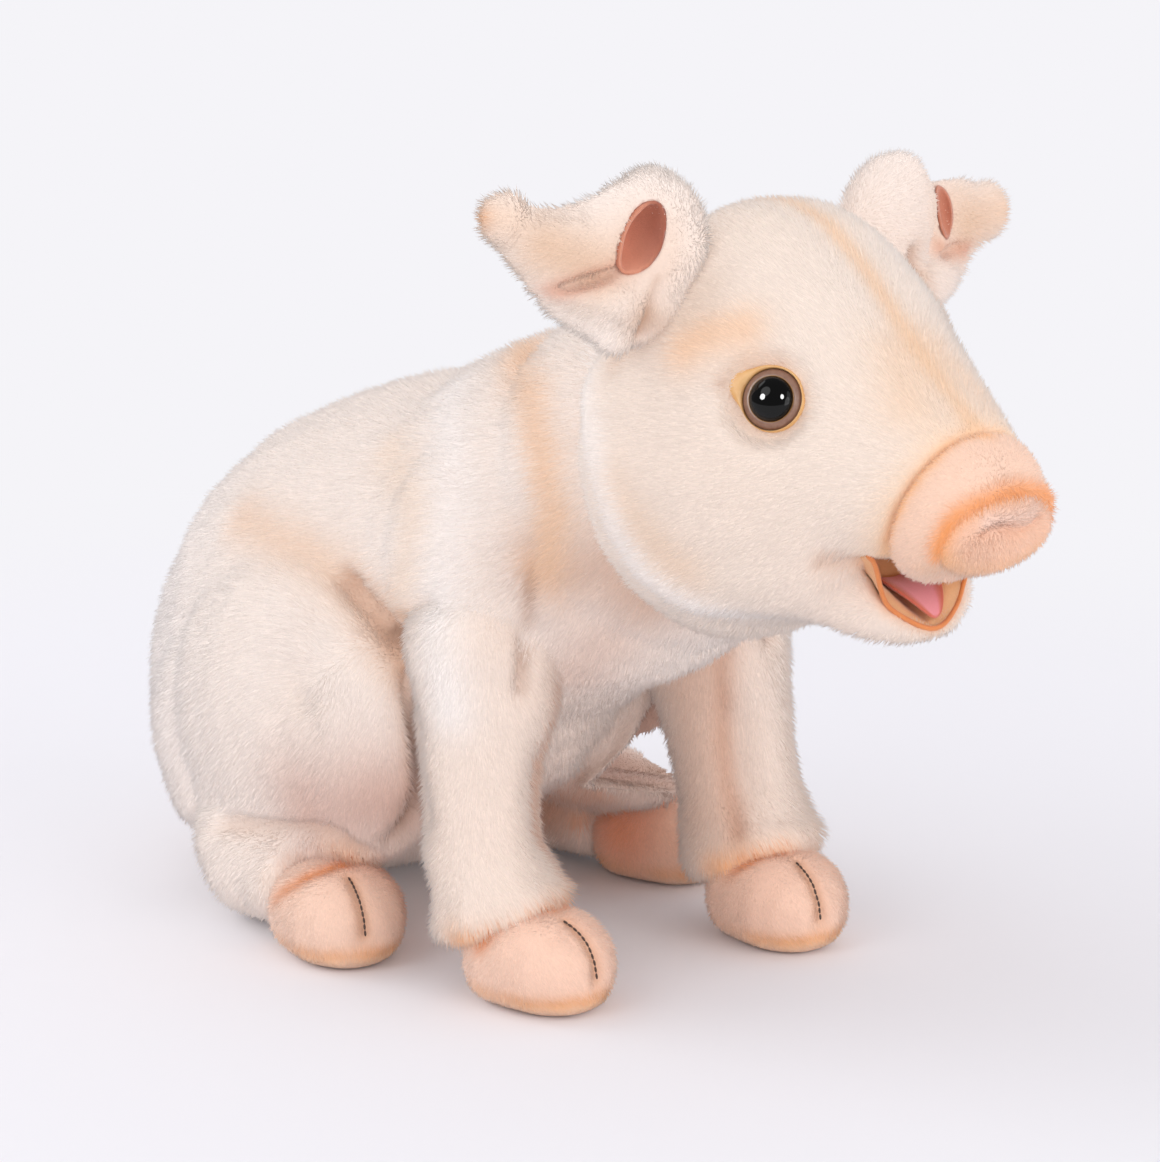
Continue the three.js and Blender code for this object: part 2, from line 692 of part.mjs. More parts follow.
function addPiece(name, solid, color, roughness = 0.95, metalness = 0) {
  const geometry = solid.isBufferGeometry ? solid : toGeometry(solid);
  const material = new THREE.MeshStandardMaterial({ color, roughness, metalness });
  const mesh = new THREE.Mesh(geometry, material);
  mesh.name = name;
  piglet.add(mesh);
}

function addPair(name, solid, color, roughness) {
  const right = toGeometry(solid);
  addPiece(`${name}_right`, right, color, roughness);
  addPiece(`${name}_left`, mirrored(right), color, roughness);
}

addPiece('torso', torso, plushColour);
addPiece('neck', neck, plushColour);
addPiece('head', head, plushColour);
addPiece('snout', snout, peachColour);
addPiece('nose_pad', nosePad, peachColour);
addPiece('lower_jaw', jaw, plushColour);
addPiece('mouth_lining', mouthLining, rustColour);
addPiece('tongue', tongue, pinkColour);
addPiece('tail', tail, plushColour);
addPiece('ear_right', rightEar.ear, plushColour);
addPiece('ear_left', leftOf(leftEar.ear), plushColour);
addPiece('ear_lining_right', rightEar.lining, rustColour);
addPiece('ear_lining_left', leftOf(leftEar.lining), rustColour);
addPair('eye', eye, eyeColour, 0.1);
addPair('eye_washer', eyeWasher, washerColour, 0.6);
addPair('eyelid', eyelid, lidColour, 0.7);
addPair('thigh', thigh, plushColour);
addPair('hind_leg', hindLeg, plushColour);
addPair('front_leg', frontLegForm, plushColour);
addPair('front_hoof', hoof(frontHoofCurve, frontLegEnd), peachColour);
addPair('hind_hoof', hoof(hindHoofCurve, hindLegEnd).subtract(thighRoom), peachColour);
addPair('front_cleft_thread', cleftThread(frontHoofCurve, threadRadius), threadColour);
addPair('hind_cleft_thread', cleftThread(hindHoofCurve, threadRadius), threadColour);

export default piglet;
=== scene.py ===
import math

import bmesh
import bpy
import numpy as np
from mathutils import Matrix, Vector
from mathutils.bvhtree import BVHTree


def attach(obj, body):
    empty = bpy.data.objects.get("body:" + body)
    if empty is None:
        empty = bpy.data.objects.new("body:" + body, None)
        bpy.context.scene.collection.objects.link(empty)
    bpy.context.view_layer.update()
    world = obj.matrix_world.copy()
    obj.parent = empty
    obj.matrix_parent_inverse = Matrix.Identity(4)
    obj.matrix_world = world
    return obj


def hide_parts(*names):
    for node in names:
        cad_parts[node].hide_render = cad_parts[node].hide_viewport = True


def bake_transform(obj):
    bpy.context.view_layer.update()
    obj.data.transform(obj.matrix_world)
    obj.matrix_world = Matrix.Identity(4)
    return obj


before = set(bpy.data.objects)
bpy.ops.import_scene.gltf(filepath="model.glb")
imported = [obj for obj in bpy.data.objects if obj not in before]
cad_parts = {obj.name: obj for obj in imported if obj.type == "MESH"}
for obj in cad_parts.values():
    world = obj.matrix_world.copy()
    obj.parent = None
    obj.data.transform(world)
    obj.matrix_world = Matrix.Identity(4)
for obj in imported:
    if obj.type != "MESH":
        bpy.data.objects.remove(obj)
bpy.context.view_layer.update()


# Camera
# A long lens looks at the piglet's right side from the front and from a little above,
# so that the far legs and the far ear still show past the near ones.
camera_round, camera_rise = math.radians(-40), math.radians(12.5)
camera_aim = Vector((-0.0157, -0.139, 0.118))
camera_distance = 1.15
camera = bpy.data.objects.new("camera", bpy.data.cameras.new("camera"))
bpy.context.scene.collection.objects.link(camera)
toward_camera = Vector((math.sin(camera_round) * math.cos(camera_rise),
                        -math.cos(camera_round) * math.cos(camera_rise),
                        math.sin(camera_rise)))
camera.location = camera_aim + camera_distance * toward_camera
camera.rotation_euler = toward_camera.to_track_quat("Z", "Y").to_euler()
camera.data.lens = 121.1
camera.data.sensor_width = 36
camera.data.clip_start, camera.data.clip_end = 0.05, 40
bpy.context.scene.camera = camera


# Studio: pale floor and soft lamps
# A matt sheet of paper lies under the piglet and runs on past the picture, where it turns plain white.
# Four large soft lamps and a white room light the piglet evenly, and two small ones give its eyes their glint.
def linear(hex_colour):
    """An sRGB hex colour such as 'f3e4da' as linear red, green, blue and alpha."""
    shares = [int(hex_colour[i:i + 2], 16) / 255 for i in (0, 2, 4)]
    return (*[s / 12.92 if s <= 0.04045 else ((s + 0.055) / 1.055) ** 2.4 for s in shares], 1)


def add_node(tree, kind, settings=None, **links):
    """Adds a node. Settings are its properties; links are values, nodes or sockets for its inputs, by name."""
    node = tree.nodes.new(kind)
    for name, value in (settings or {}).items():
        setattr(node, name, value)
    for name, value in links.items():
        place = int(name[1:]) if name[0] == "_" else name.replace("_", " ")
        value = value.outputs[0] if isinstance(value, bpy.types.Node) else value
        if isinstance(value, bpy.types.NodeSocket):
            tree.links.new(value, node.inputs[place])
        else:
            node.inputs[place].default_value = value
    return node


def new_finish(name):
    """A material and its emptied node tree."""
    finish = bpy.data.materials.new(name)
    finish.use_nodes = True
    finish.node_tree.nodes.clear()
    return finish, finish.node_tree


# Uncoated white paper: dead matt under the piglet, and plain white where it is far off
paper, tree = new_finish("matt_paper")
place = add_node(tree, "ShaderNodeTexCoord").outputs["Object"]
reach = add_node(tree, "ShaderNodeVectorMath", {"operation": "LENGTH"}, _0=place).outputs["Value"]
far = add_node(tree, "ShaderNodeMapRange", {"interpolation_type": "SMOOTHSTEP"},
               Value=reach, From_Min=0.24, From_Max=0.62)
rays = add_node(tree, "ShaderNodeLightPath")
seen = add_node(tree, "ShaderNodeMath", {"operation": "MAXIMUM"},
                _0=rays.outputs["Is Camera Ray"], _1=rays.outputs["Is Glossy Ray"])
seen = add_node(tree, "ShaderNodeMath", {"operation": "MAXIMUM"}, _0=seen, _1=rays.outputs["Is Transmission Ray"])
seen_far = add_node(tree, "ShaderNodeMath", {"operation": "MULTIPLY"}, _0=seen, _1=far)
matt = add_node(tree, "ShaderNodeBsdfDiffuse", Color=linear("e7e7eb"))
plain = add_node(tree, "ShaderNodeEmission", Color=linear("f5f4f8"), Strength=1.0)
mixed = add_node(tree, "ShaderNodeMixShader", Fac=seen_far, _1=matt, _2=plain)
add_node(tree, "ShaderNodeOutputMaterial", Surface=mixed)
floor_mesh = bpy.data.meshes.new("floor")
floor_mesh.from_pydata([(-9, -9, 0), (9, -9, 0), (9, 9, 0), (-9, 9, 0)], [], [(0, 1, 2, 3)])
floor = bpy.data.objects.new("floor", floor_mesh)
floor.data.materials.append(paper)
bpy.context.scene.collection.objects.link(floor)

room = bpy.data.worlds.new("white_room")
bpy.context.scene.world = room
room.use_nodes = True
tree = room.node_tree
tree.nodes.clear()
rays = add_node(tree, "ShaderNodeLightPath")
dimmed = add_node(tree, "ShaderNodeMapRange", Value=rays.outputs["Is Glossy Ray"], To_Min=0.98, To_Max=0.3)
light = add_node(tree, "ShaderNodeBackground", Color=linear("f7f5f8"), Strength=dimmed)
shown = add_node(tree, "ShaderNodeBackground", Color=linear("f5f4f8"), Strength=1.0)
seen = add_node(tree, "ShaderNodeMath", {"operation": "MAXIMUM"},
                _0=rays.outputs["Is Camera Ray"], _1=rays.outputs["Is Transmission Ray"])
mixed = add_node(tree, "ShaderNodeMixShader", Fac=seen, _1=light, _2=shown)
add_node(tree, "ShaderNodeOutputWorld", Surface=mixed)


def soft_lamp(name, place, size, power):
    """A round lamp that faces the piglet. Place and size in metres, power in watts."""
    lamp = bpy.data.objects.new(name, bpy.data.lights.new(name, "AREA"))
    lamp.data.shape = "DISK"
    lamp.data.size = size
    lamp.data.energy = power
    lamp.location = place
    lamp.rotation_euler = (Vector(place) - Vector((0, -0.12, 0.1))).to_track_quat("Z", "Y").to_euler()
    bpy.context.scene.collection.objects.link(lamp)
    return lamp


for name, place, size, power in (
        ("key_lamp", (-1.8, -0.1, 1.5), 1.1, 5.5), ("front_lamp", (0.6, -1.9, 0.9), 1.2, 3),
        ("low_lamp", (0.1, -1.7, 0.25), 1.0, 5), ("rear_lamp", (-0.8, 1.3, 1.6), 1.4, 9)):
    soft_lamp(name, place, size, power)
for name, place in (("catch_light_rear", (-2.08, 0.0, 0.97)), ("catch_light_front", (-0.94, -1.99, 1.17))):
    soft_lamp(name, place, 0.6, 38).visible_diffuse = False
scene = bpy.context.scene
scene.view_settings.view_transform = "Standard"


# Head cover: skull, cheeks and lower jaw in one
# Cream plush sewn from shaped panels, turned, filled with loose fibre and closed over the neck as a jowl.
# The mouth is cut out of its front, and airbrushed shading runs down the brow and round the snout.
def open_copy(nodes, grow=0.0):
    """One mesh of copies of CAD nodes, with shared corners merged and the whole grown a little."""
    mesh = bmesh.new()
    for name in nodes:
        mesh.from_mesh(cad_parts[name].data)
    bmesh.ops.remove_doubles(mesh, verts=mesh.verts, dist=2e-5)
    mesh.normal_update()
    for vertex, shift in [(v, v.normal * grow) for v in mesh.verts]:
        vertex.co += shift
    return mesh


def add_mass(mesh, centre, radii, tilt=(0, 0, 0)):
    """Adds an egg of filling to a mesh. Places and radii in mm, tilt in degrees about X, Y and Z."""
    turn = Matrix.Translation(Vector(centre) * 0.001)
    for axis, angle in zip("ZYX", reversed(tilt)):
        turn = turn @ Matrix.Rotation(math.radians(angle), 4, axis)
    turn = turn @ Matrix.Diagonal((*[r * 0.001 for r in radii], 1))
    bmesh.ops.create_icosphere(mesh, subdivisions=4, radius=1, matrix=turn)


def linked(name, mesh):
    """An object of a mesh, put into the scene."""
    obj = bpy.data.objects.new(name, mesh)
    scene.collection.objects.link(obj)
    return obj


def from_mesh(name, mesh):
    """An object from a bmesh, with its faces turned outward."""
    bmesh.ops.recalc_face_normals(mesh, faces=mesh.faces)
    data = bpy.data.meshes.new(name)
    mesh.to_mesh(data)
    mesh.free()
    data.shade_smooth()
    return linked(name, data)


def finished(obj):
    """Puts the plain mesh that an object's modifiers make in place of its own mesh."""
    bpy.context.view_layer.update()
    made = bpy.data.meshes.new_from_object(obj.evaluated_get(bpy.context.evaluated_depsgraph_get()))
    obj.modifiers.clear()
    obj.data = made
    return obj


def sewn_shut(cover, voxel, rounds):
    """One closed skin over everything in a mesh, drawn smooth as filled fabric is. Voxel in mm."""
    remesh = cover.modifiers.new("remesh", "REMESH")
    remesh.mode, remesh.voxel_size = "VOXEL", voxel * 0.001
    smooth = cover.modifiers.new("smooth", "SMOOTH")
    smooth.factor, smooth.iterations = 0.5, rounds
    finished(cover)
    cover.data.shade_smooth()
    return cover


def cut_by(cover, cutter, way="DIFFERENCE"):
    """Cuts a cover with another closed mesh."""
    step = cover.modifiers.new("cut", "BOOLEAN")
    step.operation, step.solver, step.object = way, "EXACT", cutter
    return finished(cover)


def places(obj):
    """The places of a mesh's corners, in mm."""
    found = np.empty(len(obj.data.vertices) * 3, np.float32)
    obj.data.vertices.foreach_get("co", found)
    return found.reshape(-1, 3) * 1000.0


def outward(obj):
    """The outward direction at each corner of a mesh."""
    found = np.empty(len(obj.data.vertices) * 3, np.float32)
    obj.data.vertex_normals.foreach_get("vector", found)
    return found.reshape(-1, 3).astype(float)


def moved(obj, points):
    """Puts a mesh's corners at new places, in mm."""
    obj.data.vertices.foreach_set("co", (points * 0.001).astype(np.float32).ravel())
    obj.data.update()


def from_line(points, line):
    """The way to every point from the nearest place on a line through the given places, in mm."""
    line = np.asarray(line, float)
    best = points - line[0]
    for a, b in zip(line[:-1], line[1:]):
        along = b - a
        share = np.clip((points - a) @ along / max(along @ along, 1e-9), 0, 1)
        found = points - a - share[:, None] * along
        nearer = np.linalg.norm(found, axis=1) < np.linalg.norm(best, axis=1)
        best = np.where(nearer[:, None], found, best)
    return best


def near_line(points, line):
    """Distance of every point from a line through the given places, in mm."""
    return np.linalg.norm(from_line(points, line), axis=1)


def folded(points):
    """The same places with the piglet's left side laid on its right side, which is -X."""
    return points * [0, 1, 1] - np.abs(points) * [1, 0, 0]


def own_side(points):
    """What turns a direction found on folded places back to each point's own side."""
    return np.c_[np.where(points[:, 0] > 0, -1, 1), np.ones((len(points), 2))]


def shaped(obj, strokes, both_sides=True):
    """Moves a cover's skin out or in along strokes of (line, reach, height), in mm."""
    points, around = places(obj), outward(obj)
    spots = folded(points) if both_sides else points
    for line, reach, height in strokes:
        points = points + (height * np.exp(-(near_line(spots, line) / reach) ** 2))[:, None] * around
    moved(obj, points)


def sprayed_dye_and_painted_light(base, strokes, points, both_sides=True):
    """Colour at every point: a base colour, then strokes of (line, reach in mm, share, colour), which are
    airbrushed dye and also painted shade and painted highlights.
    """
    spots = folded(points) if both_sides else points
    colour = np.tile(linear(base)[:3], (len(points), 1))
    for line, reach, share, tint in strokes:
        cover = share * np.exp(-(near_line(spots, line) / reach) ** 2)
        colour += cover[:, None] * (np.array(linear(tint)[:3]) - colour)
    return colour


def note(obj, name, kind, values):
    """Keeps a value for every vertex of a cover, for the pile and its finishes to read."""
    layer = obj.data.attributes.get(name) or obj.data.attributes.new(name, kind, "POINT")
    field = {"FLOAT": "value", "FLOAT_VECTOR": "vector", "FLOAT_COLOR": "color"}[kind]
    layer.data.foreach_set(field, np.ascontiguousarray(values, np.float32).ravel())


def dress(obj, colour, comb, length):
    """Notes a cover's colour (airbrushed dye with painted shade and painted highlights), the way its pile is combed
    and the length of its pile as a share, and backs it.
    """
    around = outward(obj)
    comb = comb - np.sum(comb * around, axis=1)[:, None] * around
    comb = comb / np.maximum(np.linalg.norm(comb, axis=1), 1e-6)[:, None]
    note(obj, "dye_and_painted_light", "FLOAT_COLOR", np.c_[colour, np.ones(len(colour))])
    note(obj, "comb", "FLOAT_VECTOR", comb)
    note(obj, "pile_length", "FLOAT", np.broadcast_to(length, len(colour)))
    obj.data.materials.clear()
    obj.data.materials.append(backing)


def new_inputs(tree, **kinds):
    """Gives a node tree its inputs: a name and a kind of socket for each."""
    for name, kind in kinds.items():
        tree.interface.new_socket(name, in_out="INPUT", socket_type="NodeSocket" + kind)


# Cut pile: thin fibres that stand in the backing, lean with the comb and catch the light as one soft nap
vector_step, number_step = "ShaderNodeVectorMath", "ShaderNodeMath"
by, plus, times = {"operation": "SCALE"}, {"operation": "ADD"}, {"operation": "MULTIPLY"}
pile_tree = bpy.data.node_groups.new("cut_pile", "GeometryNodeTree")
new_inputs(pile_tree, Cover="Geometry", Density="Float", Length="Float", Thickness="Float",
           Lean="Float", Scatter="Float", Seed="Int", Finish="Material")
pile_tree.interface.new_socket("Pile", in_out="OUTPUT", socket_type="NodeSocketGeometry")
given = pile_tree.nodes.new("NodeGroupInput").outputs
noted = {}
for name, kind in (("grows", "FLOAT"), ("pile_length", "FLOAT"),
                   ("comb", "FLOAT_VECTOR"), ("skin_way", "FLOAT_VECTOR")):
    noted[name] = add_node(pile_tree, "GeometryNodeInputNamedAttribute", {"data_type": kind}, Name=name)
density = add_node(pile_tree, number_step, times, _0=given["Density"], _1=noted["grows"])
roots = add_node(pile_tree, "GeometryNodeDistributePointsOnFaces", {"distribute_method": "RANDOM"},
                 Mesh=given["Cover"], Density=density, Seed=given["Seed"])
store = "GeometryNodeStoreNamedAttribute"
rooted = add_node(pile_tree, store, {"data_type": "FLOAT_VECTOR", "domain": "POINT"},
                  Geometry=roots, Name="skin_way", Value=roots.outputs["Normal"])
fibre = add_node(pile_tree, "GeometryNodeMeshCone", {"fill_type": "NGON"}, Vertices=3, Side_Segments=1,
                 Fill_Segments=1, Radius_Top=0.0, Radius_Bottom=1.0, Depth=1.0)
height = add_node(pile_tree, "ShaderNodeSeparateXYZ", Vector=add_node(pile_tree, "GeometryNodeInputPosition"))
fibre = add_node(pile_tree, store, {"data_type": "FLOAT", "domain": "POINT"},
                 Geometry=fibre, Name="tip", Value=height.outputs["Z"])
scatter = add_node(pile_tree, "FunctionNodeRandomValue", {"data_type": "FLOAT_VECTOR"},
                   _0=(-1, -1, -1), _1=(1, 1, 1), Seed=given["Seed"])
scatter = add_node(pile_tree, vector_step, by, _0=scatter, Scale=given["Scatter"])
lean = add_node(pile_tree, vector_step, by, _0=noted["comb"], Scale=given["Lean"])
way = add_node(pile_tree, vector_step, plus, _0=noted["skin_way"], _1=lean)
way = add_node(pile_tree, vector_step, plus, _0=way, _1=scatter)
turn = add_node(pile_tree, "FunctionNodeAlignRotationToVector", {"axis": "Z"}, Vector=way)
under = add_node(pile_tree, vector_step, by, _0=noted["skin_way"], Scale=-1.0)
turn = add_node(pile_tree, "FunctionNodeAlignRotationToVector", {"axis": "X", "pivot_axis": "Z"},
                Rotation=turn, Vector=under)
uneven = add_node(pile_tree, "FunctionNodeRandomValue", {"data_type": "FLOAT"},
                  _2=0.6, _3=1.1, Seed=given["Seed"]).outputs[1]
long = add_node(pile_tree, number_step, times, _0=given["Length"], _1=uneven)
long = add_node(pile_tree, number_step, times, _0=long, _1=noted["pile_length"])
size = add_node(pile_tree, "ShaderNodeCombineXYZ", X=given["Thickness"], Y=given["Thickness"], Z=long)
grown = add_node(pile_tree, "GeometryNodeInstanceOnPoints",
                 Points=rooted, Instance=fibre, Rotation=turn, Scale=size)
tone = add_node(pile_tree, "FunctionNodeRandomValue", {"data_type": "FLOAT"}, _2=0.0, _3=1.0, Seed=7).outputs[1]
grown = add_node(pile_tree, store, {"data_type": "FLOAT", "domain": "INSTANCE"},
                 Geometry=grown, Name="tone", Value=tone)
glint = add_node(pile_tree, vector_step, by, _0=scatter, Scale=0.5)
glint = add_node(pile_tree, vector_step, plus, _0=glint, _1=noted["skin_way"])
grown = add_node(pile_tree, store, {"data_type": "FLOAT_VECTOR", "domain": "INSTANCE"},
                 Geometry=grown, Name="skin_way", Value=glint)
made = add_node(pile_tree, "GeometryNodeRealizeInstances", Geometry=grown)
made = add_node(pile_tree, "GeometryNodeSetShadeSmooth", Geometry=made, Shade_Smooth=True)
round_way = add_node(pile_tree, vector_step, by, _0=add_node(pile_tree, "GeometryNodeInputNormal"), Scale=1.5)
made = add_node(pile_tree, "GeometryNodeSetMeshNormal", {"mode": "FREE", "domain": "POINT"}, Mesh=made,
                Custom_Normal=add_node(pile_tree, vector_step, plus, _0=noted["skin_way"], _1=round_way))
made = add_node(pile_tree, "GeometryNodeSetMaterial", Geometry=made, Material=given["Finish"])
add_node(pile_tree, "NodeGroupOutput", Pile=made)


def run_tree(obj, tree, **values):
    """Puts an object's mesh through a node tree with the given inputs, and keeps the plain mesh that comes out."""
    step = obj.modifiers.new("tree", "NODES")
    step.node_group = tree
    for socket in tree.interface.items_tree:
        if socket.in_out == "INPUT" and socket.name in values:
            step[socket.identifier] = values[socket.name]
    return finished(obj)


def pile_on(cover, name, finish, density, length, grows=1.0, thickness=0.21, lean=1.1, scatter=0.35, seed=1):
    """Grows pile on a cover as a mesh of its own. Density in fibres per square mm, lengths in mm."""
    note(cover, "grows", "FLOAT", np.broadcast_to(grows, len(cover.data.vertices)))
    pile = run_tree(linked(name, cover.data.copy()), pile_tree, Density=density * 1e6, Length=length * 0.001,
                    Thickness=thickness * 0.001, Lean=lean, Scatter=scatter, Seed=seed, Finish=finish)
    pile.visible_shadow = pile.visible_diffuse = False
    return pile


def plush_finish(name, roughness, dark, pale):
    """Dyed polyester pile: colour from the cover's dye and painted light, with painted shade toward each fibre's
    root, and uneven from fibre to fibre.
    """
    finish, tree = new_finish(name)
    dye_and_painted_light = add_node(tree, "ShaderNodeAttribute", {"attribute_name": "dye_and_painted_light"})
    tone = add_node(tree, "ShaderNodeAttribute", {"attribute_name": "tone"}).outputs["Fac"]
    tip = add_node(tree, "ShaderNodeAttribute", {"attribute_name": "tip"}).outputs["Fac"]
    light = add_node(tree, "ShaderNodeMapRange", Value=tone, To_Min=dark, To_Max=pale)
    # Painted shade: each fibre is darker toward its root, where shade falls in the pile
    depth = add_node(tree, "ShaderNodeMapRange", Value=tip, To_Min=0.92, To_Max=1.02)
    place = add_node(tree, "ShaderNodeTexCoord").outputs["Object"]
    cloud = add_node(tree, "ShaderNodeTexNoise", Vector=place, Scale=90.0, Detail=3.0)
    cloud = add_node(tree, "ShaderNodeMapRange", Value=cloud, To_Min=0.96, To_Max=1.04)
    light = add_node(tree, number_step, times, _0=light, _1=depth)
    light = add_node(tree, number_step, times, _0=light, _1=cloud)
    dye_and_painted_light = add_node(tree, vector_step, by, _0=dye_and_painted_light, Scale=light)
    plush = add_node(tree, "ShaderNodeBsdfPrincipled", Base_Color=dye_and_painted_light, Roughness=roughness,
                     Sheen_Weight=0.4, Sheen_Roughness=0.5, Specular_IOR_Level=0.2)
    add_node(tree, "ShaderNodeOutputMaterial", Surface=plush)
    return finish


# Cream polyester plush with a silky, combed pile
cream_pile = plush_finish("cream_plush_pile", roughness=0.7, dark=0.95, pale=1.06)


def backed(name, grain):
    """The knitted back of the plush between the fibres: the same colour of dye and painted light, with a fine
    knitted bump. Grain in mm.
    """
    finish, tree = new_finish(name)
    dye_and_painted_light = add_node(tree, "ShaderNodeAttribute", {"attribute_name": "dye_and_painted_light"})
    place = add_node(tree, "ShaderNodeTexCoord").outputs["Object"]
    knit = add_node(tree, "ShaderNodeTexNoise", Vector=place, Scale=1000 / grain, Detail=4.0)
    shade = add_node(tree, "ShaderNodeMapRange", Value=knit, To_Min=0.84, To_Max=1.0)
    dye_and_painted_light = add_node(tree, vector_step, by, _0=dye_and_painted_light, Scale=shade)
    bump = add_node(tree, "ShaderNodeBump", Height=knit, Strength=0.4, Distance=0.0004)
    cloth = add_node(tree, "ShaderNodeBsdfPrincipled", Base_Color=dye_and_painted_light, Roughness=0.85,
                     Sheen_Weight=0.15, Normal=bump)
    add_node(tree, "ShaderNodeOutputMaterial", Surface=cloth)
    return finish


# Knitted polyester backing of the plush
backing = backed("plush_backing", grain=1.2)

jowl_line = [(-29, -162, 191), (-47, -184, 181), (-54, -195, 167), (-54, -201, 151), (-48, -207, 137),
             (-40, -219, 129), (-30, -233, 124), (-20, -244, 120), (0, -248, 119)]
brow_line = [(0, -200, 237), (0, -217, 235), (0, -233, 225), (0, -249, 212), (0, -267, 196),
             (0, -278, 187), (0, -285, 181)]
snout_seam = [(0, -288, 181), (-3, -286, 180), (-10, -284, 178), (-15, -284, 175), (-20, -282, 169),
              (-23, -279, 162), (-22, -274, 153), (-19, -270, 146)]
mouth_corner = [(-22, -263, 145), (-30, -258, 146)]
lip_line = [(-20, -264, 144), (-14, -267, 133), (0, -272, 125)]
mesh = open_copy(["head", "lower_jaw"], grow=0.0007)
add_mass(mesh, (0, -161, 152), (48.5, 48.5, 48.5))
head_cover = sewn_shut(from_mesh("head_cover", mesh), voxel=2.0, rounds=6)


def mouth_outline(half_width, low, high, deep, lip, steps=16):
    """One ring of the mouth: a V, wide under the snout and pointed at the chin. Places in mm."""
    ring = []
    for i in range(-steps, steps + 1):
        up = abs(i) / steps
        side = half_width * up ** 0.8 * (1 if i > 0 else -1)
        ring.append((side, deep - lip * (1 - up), low + (high - low) * up))
    return ring


def skinned(mesh, rows):
    """Joins rings of corners with faces, one ring to the next, and closes both ends."""
    for a, b in zip(rows[:-1], rows[1:]):
        for i in range(len(a)):
            j = (i + 1) % len(a)
            mesh.faces.new((a[i], a[j], b[j], b[i]))
    mesh.faces.new(rows[0])
    mesh.faces.new(rows[-1])


def scoop(name, rings):
    """A closed object through rings of equal length, in mm."""
    mesh = bmesh.new()
    skinned(mesh, [[mesh.verts.new(Vector(p) * 0.001) for p in ring] for ring in rings])
    return from_mesh(name, mesh)


mouth_cutter = scoop("mouth_cutter", [
    mouth_outline(26.5, 121, 150, -284, 8), mouth_outline(22.6, 124, 145.5, -263, 8),
    mouth_outline(20, 125.6, 145, -258, 7), mouth_outline(13.4, 128.6, 143.6, -252, 5),
    mouth_outline(5.4, 133, 141, -248.6, 2)])
cut_by(head_cover, mouth_cutter)
bpy.data.objects.remove(mouth_cutter)
sewn_shut(head_cover, voxel=1.7, rounds=2)
shaped(head_cover, [
    (jowl_line, 6, 2.0), (snout_seam, 2.2, -1.0), (mouth_corner, 2.4, -1.6),
    ([(-38, -229, 203), (-44, -218, 198)], 8, 1.6), ([(-33, -247, 190), (-37, -240, 180)], 5, -0.8),
    ([(-47, -225, 160)], 15, 1.2), ([(-30, -250, 138), (-40, -236, 135)], 8, 1.0),
    (brow_line, 6, -0.7), ([(-12, -225, 229), (-14, -245, 213)], 8, 0.7)])
# The cover is pressed flat where each eye sits
eye_centre, eye_axis = np.array([-35.0, -242.0, 188.0]), np.array([-0.8395, -0.4597, 0.2898])
spots = places(head_cover)
seat = folded(spots) - eye_centre
high = seat @ eye_axis
across = np.linalg.norm(seat - high[:, None] * eye_axis, axis=1)
flat = np.clip((15.5 - across) / 5.5, 0, 1)
flat = flat * flat * (3 - 2 * flat) * (np.abs(high) < 15)
drop = ((-1.5 - high) * flat)[:, None] * eye_axis
# The underside of the jaw is lifted to a curve: its height for each distance forward, in mm
under_jaw = np.interp(-spots[:, 1], [195, 200, 215, 230, 245, 256, 266], [60, 108, 118, 123, 125, 123, 120.5])
under_jaw = under_jaw + 4 * (spots[:, 0] / 30) ** 2
drop[:, 2] += under_jaw - spots[:, 2] + 2 * np.log1p(np.exp((spots[:, 2] - under_jaw) / 2))
spots = spots + drop * own_side(spots)
moved(head_cover, spots)
dye_and_painted_light = sprayed_dye_and_painted_light("f5e3d4", [
    ([(0, -240, 215)], 30, 0.2, "f9ebe1"), ([(-50, -215, 165), (-48, -240, 165)], 24, 0.35, "f4dfd0"),
    # Painted shade below the mouth corner and under the chin
    ([(-30, -262, 140), (-20, -255, 124), (0, -250, 118)], 14, 0.40, "e9d3c6"),
    ([(-57, -200, 160), (-53, -213, 148), (-49, -221, 140)], 9, 0.45, "f6cfab"),
    ([(-12, -272, 188), (-6, -262, 199)], 10, 0.45, "f9cca2"),
    (snout_seam, 7, 0.55, "f9cea4"), (snout_seam, 2.0, 0.65, "fdc58c"),
    (brow_line, 4.0, 0.55, "f9c48e"),
    ([(-43, -219, 199), (-40, -223, 202), (-34, -230, 204)], 7, 0.75, "f8c497"),
    ([(-43, -232, 192), (-39, -236, 196), (-33, -242, 197)], 3, 0.55, "c08a66"),
    # Painted highlight along the raised jowl ridge
    (jowl_line, 5.5, 0.75, "fff8f3"),
    # Painted shade below and in front of the ear root
    ([(-38, -200, 208), (-44, -198, 200), (-46, -192, 194)], 4.5, 0.5, "d6b296"),
    ([(-34, -216, 214), (-40, -214, 207)], 6, 0.35, "d8bba2"),
    # Painted shade in the pressed mouth corners; orange dye along the lip
    (mouth_corner, 3, 0.45, "dba782"),
    (lip_line, 3, 0.8, "e8a468")], spots)
in_mouth = ((np.abs(spots[:, 0]) < 17.5) & (spots[:, 1] > -267) & (spots[:, 1] < -246)
            & (spots[:, 2] > 125) & (spots[:, 2] < 146))
eye_ring = near_line(folded(spots), [eye_centre])
from_eye = (folded(spots) - eye_centre) / np.maximum(eye_ring, 1)[:, None] * own_side(spots)
comb = np.array([0.0, 1.0, -0.22]) + (1.2 * np.exp(-(eye_ring / 16) ** 2))[:, None] * from_eye
length = np.clip((eye_ring - 6) / 8, 0.35, 1) * np.clip(near_line(folded(spots), snout_seam) / 9, 0.45, 1)
length = length * np.clip(near_line(folded(spots), lip_line) / 8, 0.35, 1)
length = np.where(in_mouth, 0, length)
